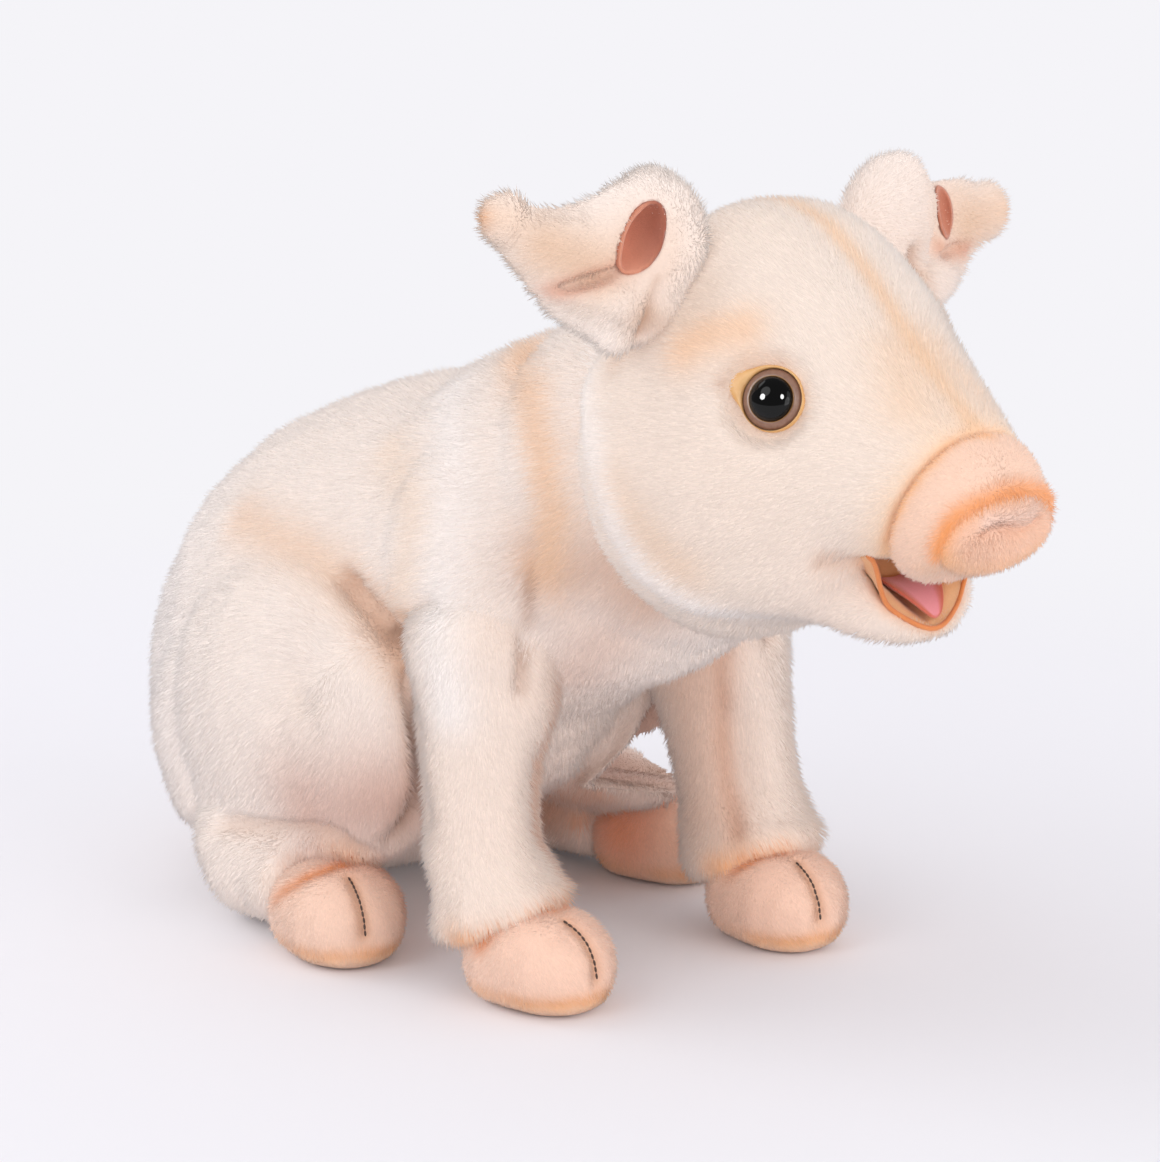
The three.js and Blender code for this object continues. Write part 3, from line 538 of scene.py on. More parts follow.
head_shown = np.where(in_mouth | (eye_ring < 7.8) | (spots[:, 1] > -152), 0.0, 1.0)
dress(head_cover, dye_and_painted_light, comb, length)
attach(head_cover, "head")
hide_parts("head", "lower_jaw")
for side, chosen in (("right", spots[:, 0] < 0), ("left", spots[:, 0] >= 0)):
    pile = pile_on(head_cover, f"head_pile_{side}", cream_pile, density=2.0, length=3.8,
                   grows=head_shown * chosen, lean=1.5, seed=3)
    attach(pile, "head")


# Mouth: felt lining, piped lip and tongue
# Tan wool felt lines the open mouth and is sewn to the cover all round, under a cord of rolled rust felt.
# A pink felt tongue with a coral stitched edge lies in it, held at its root.
def felt_finish(name, colours, grain, attribute=None):
    """Pressed wool felt: matted fibres that mottle its colour and roughen it. Grain in mm."""
    finish, tree = new_finish(name)
    place = add_node(tree, "ShaderNodeTexCoord").outputs["Object"]
    matted = add_node(tree, "ShaderNodeTexNoise", Vector=place, Scale=1000 / grain, Detail=5.0, Roughness=0.7)
    blotch = add_node(tree, "ShaderNodeTexNoise", Vector=place, Scale=160.0, Detail=2.0)
    mixed = add_node(tree, "ShaderNodeMix", {"data_type": "RGBA"}, _0=blotch,
                     _6=linear(colours[0]), _7=linear(colours[1])).outputs[2]
    # An attribute mixes in a third colour: the tongue's stitched edge, and painted shade in the ear cups
    if attribute:
        stitched_edge_and_painted_shade = add_node(tree, "ShaderNodeAttribute", {"attribute_name": attribute}).outputs["Fac"]
        mixed = add_node(tree, "ShaderNodeMix", {"data_type": "RGBA"}, _0=stitched_edge_and_painted_shade,
                         _6=mixed, _7=linear(colours[2])).outputs[2]
    shade = add_node(tree, "ShaderNodeMapRange", Value=matted, To_Min=0.85, To_Max=1.12)
    mixed = add_node(tree, vector_step, by, _0=mixed, Scale=shade)
    bump = add_node(tree, "ShaderNodeBump", Height=matted, Strength=0.5, Distance=0.0003)
    felt = add_node(tree, "ShaderNodeBsdfPrincipled", Base_Color=mixed, Roughness=0.9,
                    Sheen_Weight=0.3, Sheen_Roughness=0.5, Normal=bump)
    add_node(tree, "ShaderNodeOutputMaterial", Surface=felt)
    return finish


# Tan wool felt, blotched darker where it is rubbed
lining_felt = felt_finish("tan_felt", ("f0bd8b", "e3a26e"), grain=0.5)


def snug(line, cover, lift=0.0):
    """The places where a line in mm comes to lie on a cover, lifted a little off it."""
    tree = BVHTree.FromObject(cover, bpy.context.evaluated_depsgraph_get())
    found = [tree.find_nearest(Vector(p) * 0.001) for p in line]
    found = np.array([(spot + lift * 0.001 * way) * 1000 for spot, way, _, _ in found])
    for _ in range(6):
        found[1:-1] = 0.5 * found[1:-1] + 0.25 * (found[:-2] + found[2:])
    return [tuple(spot) for spot in found]


rim = snug(mouth_outline(23.2, 123.2, 146.4, -266.5, 8), head_cover, lift=0.3)
lining = scoop("mouth_lining_felt", [
    mouth_outline(5.0, 132.6, 141.4, -248.4, 2), mouth_outline(13.2, 128.4, 143.8, -251.8, 5),
    mouth_outline(19.8, 125.4, 145.2, -258, 7), [(x * 1.01, y + 0.6, z) for x, y, z in rim],
    [(x * 0.99, y - 0.4, z + 0.2) for x, y, z in rim], mouth_outline(18.6, 126.8, 144.3, -259, 6.8),
    mouth_outline(12.2, 129.7, 142.8, -253.4, 5), mouth_outline(4.4, 134.0, 140.6, -250.2, 2)])
lining.data.materials.append(lining_felt)
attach(lining, "head")
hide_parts("mouth_lining")


def round_cord(name, line, radius, sides=10):
    """A closed round cord along places in mm, with domed ends."""
    line = [Vector(p) * 0.001 for p in line]
    mesh = bmesh.new()
    rows = []
    across = Vector((0, 0, 1))
    for i, spot in enumerate(line):
        ahead = (line[min(i + 1, len(line) - 1)] - line[max(i - 1, 0)]).normalized()
        side = ahead.cross(across)
        side = side.normalized() if side.length > 1e-4 else ahead.orthogonal().normalized()
        up = side.cross(ahead)
        across = up
        thin = 0.45 if i in (0, len(line) - 1) else 1
        rows.append([mesh.verts.new(spot + radius * 0.001 * thin * (math.cos(t) * side + math.sin(t) * up))
                     for t in [2 * math.pi * k / sides for k in range(sides)]])
    skinned(mesh, rows)
    return from_mesh(name, mesh)


# Rust felt rolled into a cord round the lips
lip_felt = felt_finish("rust_felt_piping", ("e8914f", "d97c40"), grain=0.4)
lips = round_cord("lip_piping", rim, radius=0.75)
lips.data.materials.append(lip_felt)
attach(lips, "head")

# Each ring of the tongue: how far forward, how high, its half width and its thickness, in mm
tongue_rings = [(-253, 135.4, 6.2, 2.4), (-257, 135.4, 9.0, 3.0), (-261, 134.6, 9.6, 3.0),
                (-265, 132.8, 8.0, 2.8), (-268.5, 130.2, 5.0, 2.2), (-270.6, 127.8, 2.0, 1.4)]
tongue_corners = 24
mesh = bmesh.new()
edge_layer = mesh.verts.layers.float.new("stitched_edge_and_painted_shade")
rings = []
for forward, up, half, thick in tongue_rings:
    ring = []
    for k in range(tongue_corners):
        turn = 2 * math.pi * k / tongue_corners
        out, rise = math.cos(turn), math.sin(turn)
        share = abs(out)
        curled = up + thick * 0.5 * rise + 2.6 * share ** 2.5 * half / 9.6
        vertex = mesh.verts.new(Vector((half * out, forward, curled)) * 0.001)
        vertex[edge_layer] = float(np.clip((share - 0.55) / 0.25, 0, 1)) if rise > -0.2 else 1.0
        ring.append(vertex)
    rings.append(ring)
skinned(mesh, rings)
tongue = from_mesh("tongue_felt", mesh)
refine = tongue.modifiers.new("round", "SUBSURF")
refine.levels = refine.render_levels = 2
finished(tongue)
# Pink felt with a coral stitched edge
tongue_felt = felt_finish("pink_felt", ("ef9aa0", "e88a94", "d4694f"), grain=0.4, attribute="stitched_edge_and_painted_shade")
tongue.data.materials.append(tongue_felt)
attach(tongue, "head")
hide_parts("tongue")


# Snout and nose pad
# A short drum of peach plush with clipped pile, sewn to the head and closed by a padded oval nose.
# One crease is stitched across the nose, and orange dye is sprayed along its rim.

# Peach polyester plush with a short, clipped pile
peach_pile = plush_finish("peach_plush_pile", roughness=0.75, dark=0.94, pale=1.05)
snout_cover = sewn_shut(from_mesh("snout_cover", open_copy(["snout"], grow=0.0006)), voxel=1.4, rounds=8)
nose_cover = sewn_shut(from_mesh("nose_cover", open_copy(["nose_pad"], grow=0.0006)), voxel=1.2, rounds=4)
nose_crease = [(-8.5, -295, 156.4), (-5, -296, 158), (-1, -296, 156.8), (3, -296, 155.4), (7, -296, 156),
               (10.5, -296, 158.4)]
pad_rim = [(-19.5, -290.5, 149), (-20.5, -291.5, 154), (-19.5, -293, 158.5), (-17, -294, 162),
           (-12, -295.5, 164.5), (-4, -296.5, 166.4), (0, -297, 166.4)]
shaped(nose_cover, [(nose_crease, 1.3, -1.1), ([(-6, -295, 161), (6, -296, 161)], 3.5, 0.5),
                    ([(-6, -294, 151), (6, -295, 151)], 3.5, 0.5)], both_sides=False)
shaped(snout_cover, [(pad_rim, 2.8, 2.0), ([(0, -283, 140), (-9, -281, 141)], 9, -2.4)])
spots = places(snout_cover)
dye_and_painted_light = sprayed_dye_and_painted_light("fbd3ba", [
    (snout_seam, 2.4, 0.75, "feb977"), (pad_rim, 2.8, 0.95, "f6994e"),
    ([(-16, -286, 143), (0, -288, 139)], 6, 0.55, "f6bd8c")], spots)
dress(snout_cover, dye_and_painted_light, np.tile([0.0, 0.9, -0.3], (len(spots), 1)),
      0.8 + 0.9 * np.exp(-(near_line(folded(spots), pad_rim) / 3) ** 2))
spots = places(nose_cover)
dye_and_painted_light = sprayed_dye_and_painted_light("f9c6a8", [
    # Orange dye along the rim; along the crease, orange dye with painted shade in the groove
    (pad_rim, 3.0, 0.8, "f5a35c"), (nose_crease, 1.5, 0.75, "e3a07c"),
    ([(-17, -291, 150), (-12, -292, 145), (0, -293, 144), (12, -292, 145), (17, -291, 150)], 3.4, 0.6, "f6bd8c"),
    # Painted highlight on the raised upper bulge of the nose
    ([(-8, -296, 160), (8, -296, 160)], 3, 0.5, "ffe6da")], spots, both_sides=False)
dress(nose_cover, dye_and_painted_light, np.c_[spots[:, 0] * 0.3, np.full(len(spots), 0.3), spots[:, 2] - 156], 1)
for cover, node, density in ((snout_cover, "snout", 2.6), (nose_cover, "nose_pad", 3.2)):
    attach(cover, "head")
    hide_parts(node)
    pile = pile_on(cover, cover.name.replace("cover", "pile"), peach_pile, density, length=2.1,
                   thickness=0.17, lean=1.1, scatter=0.45, seed=5)
    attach(pile, "head")


# Eyes: glossy toy eyes with leather lids
# Each eye is a black acrylic dome in a brown ring, pushed through the cover and locked by a washer behind.
# A tan leather lid is glued round it and comes to a point at its rear corner.
def eye_place(side):
    """Centre and axis of an eye. Side is -1 on the piglet's right and 1 on its left."""
    return Vector((side * 35.0, -242.0, 188.0)), Vector((side * 0.8395, -0.4597, 0.2898)).normalized()


def turned(name, profile, centre, axis, steps, stretch=None):
    """Turns a closed profile of (radius, height) in mm about an axis. Stretch changes each direction's radius."""
    up = Vector((0, 0, 1))
    side = up.cross(axis).normalized()
    rise = axis.cross(side)
    mesh = bmesh.new()
    layer = mesh.verts.layers.float.new("reach")
    rows = []
    for k in range(steps):
        turn = 2 * math.pi * k / steps
        row = []
        for radius, high in profile:
            wide = radius if stretch is None else stretch(radius, turn)
            spot = centre + wide * (math.cos(turn) * side + math.sin(turn) * rise) + high * axis
            vertex = mesh.verts.new(spot * 0.001)
            vertex[layer] = radius
            row.append(vertex)
        rows.append(row)
    for k in range(steps):
        a, b = rows[k], rows[(k + 1) % steps]
        for i in range(len(profile)):
            j = (i + 1) % len(profile)
            if profile[i][0] > 1e-6 or profile[j][0] > 1e-6:
                mesh.faces.new((a[i], b[i], b[j], a[j]))
    bmesh.ops.remove_doubles(mesh, verts=mesh.verts, dist=1e-6)
    bmesh.ops.dissolve_degenerate(mesh, edges=mesh.edges, dist=1e-7)
    return from_mesh(name, mesh)


# Moulded acrylic: a black pupil, a thin gold line and a brown ring under one clear gloss
acrylic, tree = new_finish("eye_acrylic")
reach = add_node(tree, "ShaderNodeAttribute", {"attribute_name": "reach"}).outputs["Fac"]
place = add_node(tree, "ShaderNodeTexCoord").outputs["Object"]
flecks = add_node(tree, "ShaderNodeTexNoise", Vector=place, Scale=900.0, Detail=3.0)
brown = add_node(tree, "ShaderNodeMix", {"data_type": "RGBA"}, _0=flecks,
                 _6=linear("7d5a4c"), _7=linear("a3806c")).outputs[2]
is_gold = add_node(tree, "ShaderNodeMapRange", Value=reach, From_Min=6.15, From_Max=6.3)
is_ring = add_node(tree, "ShaderNodeMapRange", Value=reach, From_Min=6.35, From_Max=6.5)
inner = add_node(tree, "ShaderNodeMix", {"data_type": "RGBA"}, _0=is_gold,
                 _6=linear("020202"), _7=linear("a8763c")).outputs[2]
colour = add_node(tree, "ShaderNodeMix", {"data_type": "RGBA"}, _0=is_ring, _6=inner, _7=brown).outputs[2]
gloss = add_node(tree, "ShaderNodeMapRange", Value=is_gold, To_Min=0.03, To_Max=0.3)
glossy = add_node(tree, "ShaderNodeBsdfPrincipled", Base_Color=colour, Roughness=gloss, Specular_IOR_Level=0.3)
add_node(tree, "ShaderNodeOutputMaterial", Surface=glossy)

# Tan glove leather, with creases and paler, worn high spots
leather, tree = new_finish("tan_leather")
place = add_node(tree, "ShaderNodeTexCoord").outputs["Object"]
grain = add_node(tree, "ShaderNodeTexVoronoi", Vector=place, Scale=1400.0)
wear = add_node(tree, "ShaderNodeTexNoise", Vector=place, Scale=250.0, Detail=4.0)
tan = add_node(tree, "ShaderNodeMix", {"data_type": "RGBA"}, _0=wear,
               _6=linear("d89c50"), _7=linear("f3c98e")).outputs[2]
bump = add_node(tree, "ShaderNodeBump", Height=grain, Strength=0.3, Distance=0.0002)
hide = add_node(tree, "ShaderNodeBsdfPrincipled", Base_Color=tan, Roughness=0.55, Normal=bump)
add_node(tree, "ShaderNodeOutputMaterial", Surface=hide)

# White moulded washer plastic, matt inside the head
washer_plastic, tree = new_finish("washer_plastic")
place = add_node(tree, "ShaderNodeTexCoord").outputs["Object"]
mould = add_node(tree, "ShaderNodeTexNoise", Vector=place, Scale=400.0, Detail=2.0)
white = add_node(tree, "ShaderNodeMix", {"data_type": "RGBA"}, _0=mould,
                 _6=linear("e6e5df"), _7=linear("f4f3ee")).outputs[2]
plain = add_node(tree, "ShaderNodeBsdfPrincipled", Base_Color=white, Roughness=0.5)
add_node(tree, "ShaderNodeOutputMaterial", Surface=plain)

dome = [(6.2 * math.sin(a), 1.0 + 3.4 * math.cos(a)) for a in np.linspace(0, math.pi / 2, 14)]
eye_profile = dome + [(6.3, 0.95), (6.6, 1.1), (6.8, 0.95), (7.6, 0.55), (8.2, 0.0), (8.35, -0.6), (8.0, -1.0),
                      (2.2, -1.2), (2.0, -2.0), (2.0, -10.5), (1.6, -11.0), (0.0, -11.0)]
for side_name, side in (("right", -1), ("left", 1)):
    centre, axis = eye_place(side)
    eye = turned(f"toy_eye_{side_name}", eye_profile, centre, axis, steps=64)
    eye.data.materials.append(acrylic)
    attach(eye, "head")
    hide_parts(f"eye_{side_name}")

    def lid_reach(radius, turn, side=side):
        """The lid is pointed at its rear corner and widest over the top."""
        if radius < 8.6:
            return radius
        rear = math.cos(turn - (math.radians(160) if side < 0 else math.radians(20)))
        top = math.sin(turn)
        away = min(max(1.3 - 1.1 * max(rear, 0) ** 3 - 0.9 * max(top, 0), 0), 1)
        return radius + (radius - 8.5) * (1.9 * max(rear, 0) ** 18 - 0.35 * max(top, 0) - 0.85 * away)

    lid_profile = [(8.45, -0.2), (8.7, 0.75), (9.3, 0.95), (10.2, 0.35), (10.9, -0.9), (10.5, -1.8), (8.6, -1.6)]
    lid = turned(f"eyelid_leather_{side_name}", lid_profile, centre, axis, steps=72, stretch=lid_reach)
    lid.data.materials.append(leather)
    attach(lid, "head")
    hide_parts(f"eyelid_{side_name}")
    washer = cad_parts[f"eye_washer_{side_name}"]
    for slot in washer.material_slots:
        slot.material = washer_plastic


# Ears
# A folded leaf of plush: a rounded dome that opens in a felt-lined cup, and a ragged tip that lies back.
# Each is sewn to the head along its root.
def ear_forms(side):
    """The eggs of filling that fill one ear, and the hollows that its cup and slit cut. Places in mm."""
    if side == "right":
        forms = [((-43, -200, 227), (15, 9, 20), (0, 6, 0)), ((-67, -197, 227), (20, 5.5, 11.5), (0, 8, -22)),
                 ((-84.5, -191, 235.5), (7.2, 4.5, 7.4), (0, 0, -10)),
                 ((-60, -200, 213.5), (19, 7, 6), (0, 16, -20)), ((-39, -200, 209), (12, 9, 12), (0, 0, 0))]
        hollows = [((-49.8, -211, 228.4), (5.2, 13, 11.6), (0, 22, 24)),
                   ((-66, -204.5, 218.6), (14.5, 7, 2.2), (0, -13, -22))]
        slit = [(-78, -198, 215), (-66, -203, 218.5), (-55, -207, 222)]
    else:
        forms = [((46, -202, 225), (15.5, 10, 20), (0, 22, 0)), ((71, -199, 224), (19, 5.5, 13), (0, 4, 6)),
                 ((89, -199, 224.5), (8, 4.5, 8.5), (0, 0, 6)), ((60, -203, 207), (13, 6.5, 7.5), (0, -10, 8)),
                 ((40, -201, 209), (12, 9, 12), (0, 0, 0))]
        hollows = [((65.5, -208.5, 227.5), (4.2, 7.5, 10.0), (0, -10, -24)),
                   ((70, -206, 215), (10, 6.5, 1.9), (0, -8, 14))]
        slit = [(62, -208, 217), (70, -205, 215), (79, -202, 214)]
    return forms, hollows, slit


def parted(points, comb, lines, reach, strength):
    """Combs the pile away from fold lines on both sides, so that it parts along them."""
    for line in lines:
        away = from_line(folded(points), line)
        far = np.linalg.norm(away, axis=1)[:, None]
        away = away / np.maximum(far, 0.5) * own_side(points)
        comb = comb + strength * np.exp(-(far / reach) ** 2) * away
    return comb


# Terracotta felt, with painted shade that makes it darkest in the depth of the cup
cup_felt = felt_finish("terracotta_felt", ("de977a", "cd8062", "a2583f"), grain=0.5, attribute="deep")
for side_name, side in (("right", -1), ("left", 1)):
    forms, hollows, slit = ear_forms(side_name)
    mesh = open_copy([f"ear_{side_name}"], grow=-0.0015)
    for centre, radii, tilt in forms:
        add_mass(mesh, centre, radii, tilt)
    ear = sewn_shut(from_mesh(f"ear_cover_{side_name}", mesh), voxel=1.6, rounds=5)
    mesh = bmesh.new()
    for centre, radii, tilt in hollows:
        add_mass(mesh, centre, radii, tilt)
    hollow = sewn_shut(from_mesh("ear_hollow", mesh), voxel=0.9, rounds=2)
    mesh = bmesh.new()
    add_mass(mesh, hollows[0][0], [r - 0.9 for r in hollows[0][1]], hollows[0][2])
    inner = from_mesh("ear_inner", mesh)
    mesh = bmesh.new()
    add_mass(mesh, *hollows[0])
    cup = from_mesh(f"ear_cup_{side_name}", mesh)
    cut_by(cup, inner)
    cut_by(cup, ear, "INTERSECT")
    cut_by(ear, hollow)
    bpy.data.objects.remove(hollow)
    bpy.data.objects.remove(inner)
    sewn_shut(ear, voxel=1.3, rounds=1)
    ear_root = np.array([(-47.5, -211, 217), (-49, -210, 210), (-50, -205, 203)])
    before = places(ear)
    shaped(ear, [(ear_root, 2.2, -2.2), ([(-43, -211, 214), (-43, -209, 207)], 4, 0.9),
                 ([(-58, -206, 211), (-54, -207, 206)], 4, 0.9), ([(-64, -197, 240), (-73, -195, 239)], 7, -3.0)])
    cup.data.materials.clear()
    cup.data.materials.append(cup_felt)
    cup.data.shade_smooth()
    # Painted shade: the right cup darkens toward its depth, and the left cup gets an even share of it
    painted_cup_shade = np.clip((places(cup)[:, 0] - hollows[0][0][0] + 2) / 6, 0, 1)
    note(cup, "deep", "FLOAT", painted_cup_shade if side < 0 else np.full(len(painted_cup_shade), 0.3))
    spots = places(ear)
    depth = near_line(spots, [hollows[0][0]])
    in_cup = np.linalg.norm((spots - hollows[0][0]) / np.array(hollows[0][1]), axis=1) < 1.06
    own_root = ear_root * [-side, 1, 1]
    dye_and_painted_light = sprayed_dye_and_painted_light("fdf0e6" if side < 0 else "f9e9de", [
        ([(-64, -202, 222), (-76, -198, 228)] if side < 0 else [(78, -203, 222)], 11, 0.75, "e2b792"),
        ([(-86, -190, 236) if side < 0 else (91, -199, 225)], 6, 0.7, "f3c193"),
        ([(-91, -189, 236) if side < 0 else (96, -199, 224)], 3.5, 0.7, "e9a466"),
        # Along the slit, orange dye with painted shade in the fold; orange dye round the cup
        (slit, 3.2, 0.85, "dc9d80"), ([hollows[0][0]], 11, 0.35, "f3c193"),
        # Painted shade in the crease at the ear root and around it; peach dye round the cup
        (own_root, 1.8, 0.8, "a87657"), (own_root, 6, 0.3, "d9b79f"), ([hollows[0][0]], 15, 0.35, "f3d3bd"),
        # Painted shade under the front of the ear
        ([(39 * side, -205, 205), (52 * side, -208, 208)], 5, 0.5, "d3ad90")], before, both_sides=False)
    comb = spots - [side * 30.0, -200.0, 226.0]
    length = np.where(in_cup, 0.0, np.clip((depth - 9) / 10, 0.35, 1)) * np.clip(near_line(spots, slit) / 5, 0.4, 1)
    length = length * np.clip(near_line(folded(before), ear_root) / 5, 0.2, 1)
    dress(ear, dye_and_painted_light, parted(spots, comb, [ear_root], 4, 30), length)
    ear_pile = pile_on(ear, f"ear_pile_{side_name}", cream_pile, density=2.0, length=3.6,
                       grows=np.where(in_cup, 0.0, 1.0), lean=1.2, scatter=0.5, seed=8)
    for obj in (ear, ear_pile):
        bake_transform(obj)
    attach(cup, f"ear_{side_name}")
    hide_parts(f"ear_{side_name}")
    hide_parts(f"ear_lining_{side_name}")


# Hooves
# Soft hooves of clipped peach plush, filled and sewn on under the cuffs, with orange dye at crown and sole.
# A cleft pinches each toe: short dark stitches of doubled thread, one after another.
stitch_tree = bpy.data.node_groups.new("stitches", "GeometryNodeTree")
new_inputs(stitch_tree, Line="Geometry", Gap="Float", Length="Float", Thickness="Float", Finish="Material")
stitch_tree.interface.new_socket("Stitches", in_out="OUTPUT", socket_type="NodeSocketGeometry")
given = stitch_tree.nodes.new("NodeGroupInput").outputs
line = add_node(stitch_tree, "GeometryNodeMeshToCurve", Mesh=given["Line"])
line = add_node(stitch_tree, "GeometryNodeResampleCurve", {"mode": "LENGTH"}, Curve=line, Length=given["Gap"])
spots_on = add_node(stitch_tree, "GeometryNodeCurveToPoints", {"mode": "EVALUATED"}, Curve=line)
bead = add_node(stitch_tree, "GeometryNodeMeshUVSphere", Segments=8, Rings=6, Radius=1.0)
ahead = add_node(stitch_tree, "FunctionNodeAlignRotationToVector", {"axis": "Z"},
                 Vector=spots_on.outputs["Tangent"])
size = add_node(stitch_tree, "ShaderNodeCombineXYZ", X=given["Thickness"], Y=given["Thickness"], Z=given["Length"])
sewn = add_node(stitch_tree, "GeometryNodeInstanceOnPoints",
                Points=spots_on, Instance=bead, Rotation=ahead, Scale=size)
sewn = add_node(stitch_tree, "GeometryNodeRealizeInstances", Geometry=sewn)
sewn = add_node(stitch_tree, "GeometryNodeSetShadeSmooth", Geometry=sewn, Shade_Smooth=True)
sewn = add_node(stitch_tree, "GeometryNodeSetMaterial", Geometry=sewn, Material=given["Finish"])
add_node(stitch_tree, "NodeGroupOutput", Stitches=sewn)


def stitched(name, line, finish, gap=1.8, length=0.95, thickness=0.36):
    """Stitches along places in mm, as one mesh."""
    data = bpy.data.meshes.new(name)
    data.from_pydata([[c * 0.001 for c in p] for p in line], [(i, i + 1) for i in range(len(line) - 1)], [])
    return run_tree(linked(name, data), stitch_tree, Gap=gap * 0.001, Length=length * 0.001,
                    Thickness=thickness * 0.001, Finish=finish)


# Waxed brown-black sewing thread, twisted from two strands
thread, tree = new_finish("brown_thread")
place = add_node(tree, "ShaderNodeTexCoord").outputs["Object"]
twist = add_node(tree, "ShaderNodeTexWave", {"bands_direction": "DIAGONAL"},
                 Vector=place, Scale=900.0, Distortion=1.0)
brown = add_node(tree, "ShaderNodeMix", {"data_type": "RGBA"}, _0=twist.outputs["Fac"],
                 _6=linear("2a1710"), _7=linear("5a3a2a")).outputs[2]
bump = add_node(tree, "ShaderNodeBump", Height=twist.outputs["Fac"], Strength=0.4, Distance=0.0001)
strand = add_node(tree, "ShaderNodeBsdfPrincipled", Base_Color=brown, Roughness=0.6, Normal=bump)
add_node(tree, "ShaderNodeOutputMaterial", Surface=strand)

clefts = {"front": [(-44.2, -180.2, 12.6), (-44.3, -179.4, 16.3), (-44.4, -178.0, 19.2), (-44.7, -176.2, 21.8),
                    (-45.0, -173.8, 23.7), (-45.4, -171.0, 25.2), (-45.8, -168.2, 26.2)],
          "hind": [(-70.8, -105.0, 12.6), (-70.7, -104.3, 16.5), (-70.4, -103.0, 19.2), (-70.0, -101.2, 21.8),
                   (-69.4, -98.9, 23.6), (-68.6, -96.2, 25.2), (-67.9, -93.6, 26.2)]}
crown = {"front": [(-65, -152, 20), (-56, -157, 24), (-46, -161, 26.5), (-36, -157, 26), (-28, -151, 23)],
         "hind": [(-83, -72, 18), (-80, -82, 25), (-72, -86, 28), (-64, -86, 28), (-54, -82, 26), (-48, -74, 22)]}
sole = {"front": [(-66, -148, 5), (-66, -160, 5), (-60, -174, 5), (-52, -180, 6), (-42, -180, 6), (-32, -172, 5),
                  (-27, -160, 5), (-29, -143, 5), (-46, -136, 5), (-63, -142, 5), (-66, -148, 5)],
        "hind": [(-85, -84, 5), (-82, -97, 5), (-76, -105, 6), (-66, -106, 6), (-54, -102, 5), (-46, -92, 5),
                 (-45, -78, 5), (-52, -67, 5), (-66, -63, 5), (-80, -68, 5), (-85, -84, 5)]}
for end in ("front", "hind"):
    for side_name, side in (("right", -1), ("left", 1)):
        node = f"{end}_hoof_{side_name}"
        hoof = sewn_shut(from_mesh(f"{node}_cover", open_copy([node], grow=0.0006)), voxel=1.5, rounds=7)
        middle = np.array([side * 46.5, -160, 0] if end == "front" else [side * 65.5, -86, 0])
        spots = places(hoof)
        slim = np.clip((spots[:, 2] - 1) / 6, 0.2, 1)[:, None] * [-0.08, -0.02, 0]
        taller = np.c_[np.zeros((len(spots), 2)), 0.07 * np.maximum(spots[:, 2] - 8, 0)]
        moved(hoof, spots + (spots - middle) * slim + taller)
        shaped(hoof, [(clefts[end], 1.8, -1.5), (sole[end], 1.6, -0.5), (crown[end], 2.5, -0.8),
                      ([(x, y - 1, z - 7) for x, y, z in clefts[end][1:3]], 7, 0.5)])
        spots = places(hoof)
        dye_and_painted_light = sprayed_dye_and_painted_light("fdd6bf", [
            # Painted shade: the hind hooves are a deeper orange on their inner sides, where shade falls between the
            # legs; the front hooves are a little deeper orange all over
            ([(-46, -165, 15)], 15, 0.25, "fba781") if end == "front" else ([(-48, -84, 18)], 15, 0.95, "fba781"),
            (sole[end], 2.6, 0.75, "f4a767"), (crown[end], 2.8, 0.9, "f0914a"), (clefts[end], 2.4, 0.6, "e0a070"),
            ([(x, y, 2) for x, y, z in sole[end]], 4, 0.5, "f7c795")], spots)
        comb = np.c_[spots[:, 0] - side * 50, spots[:, 1] + (155 if end == "front" else 85),
                     np.full(len(spots), -14.0)]
        length = np.clip(near_line(folded(spots), clefts[end]) / 3.0, 0.45, 1) * np.clip(spots[:, 2] / 6, 0.2, 1)
        dress(hoof, dye_and_painted_light, comb * [0.4, 1, 1], length)
        pile = pile_on(hoof, f"{node}_pile", peach_pile, density=3.0, length=2.4,
                       grows=np.where(spots[:, 2] > 1.2, 1.0, 0.0), thickness=0.16, lean=1.4, scatter=0.6, seed=11)
        body = f"front_leg_{side_name}" if end == "front" else "body"
        stitches = stitched(f"{end}_cleft_stitches_{side_name}",
                            [(x * -side, y - 0.2, z + 0.1) for x, y, z in clefts[end]], thread)
        for obj, replaced, slot in ((hoof, node, "peach_plush"), (pile, None, "peach_plush"),
                                    (stitches, f"{end}_cleft_thread_{side_name}", "brown_thread")):
            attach(obj, body)
            if replaced:
                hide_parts(replaced)


# Tail
# A thin curl of cream plush round a soft core. It is sewn to the rump at its root
# and has the same airbrushed peach at its base as the seams.
tail = sewn_shut(from_mesh("tail_cover", open_copy(["tail"], grow=0.0004)), voxel=1.3, rounds=3)
spots = places(tail)
dye_and_painted_light = sprayed_dye_and_painted_light("f8ebe2", [([(0, 68, 96), (0, 74, 90)], 8, 0.4, "f5c9a2")], spots)
dress(tail, dye_and_painted_light, np.tile([0.3, 1.0, 0.4], (len(spots), 1)), 1)
tail_pile = pile_on(tail, "tail_pile", cream_pile, density=2.4, length=2.4, lean=1.4, seed=13)
for obj in (tail, tail_pile):
    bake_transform(obj)
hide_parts("tail")


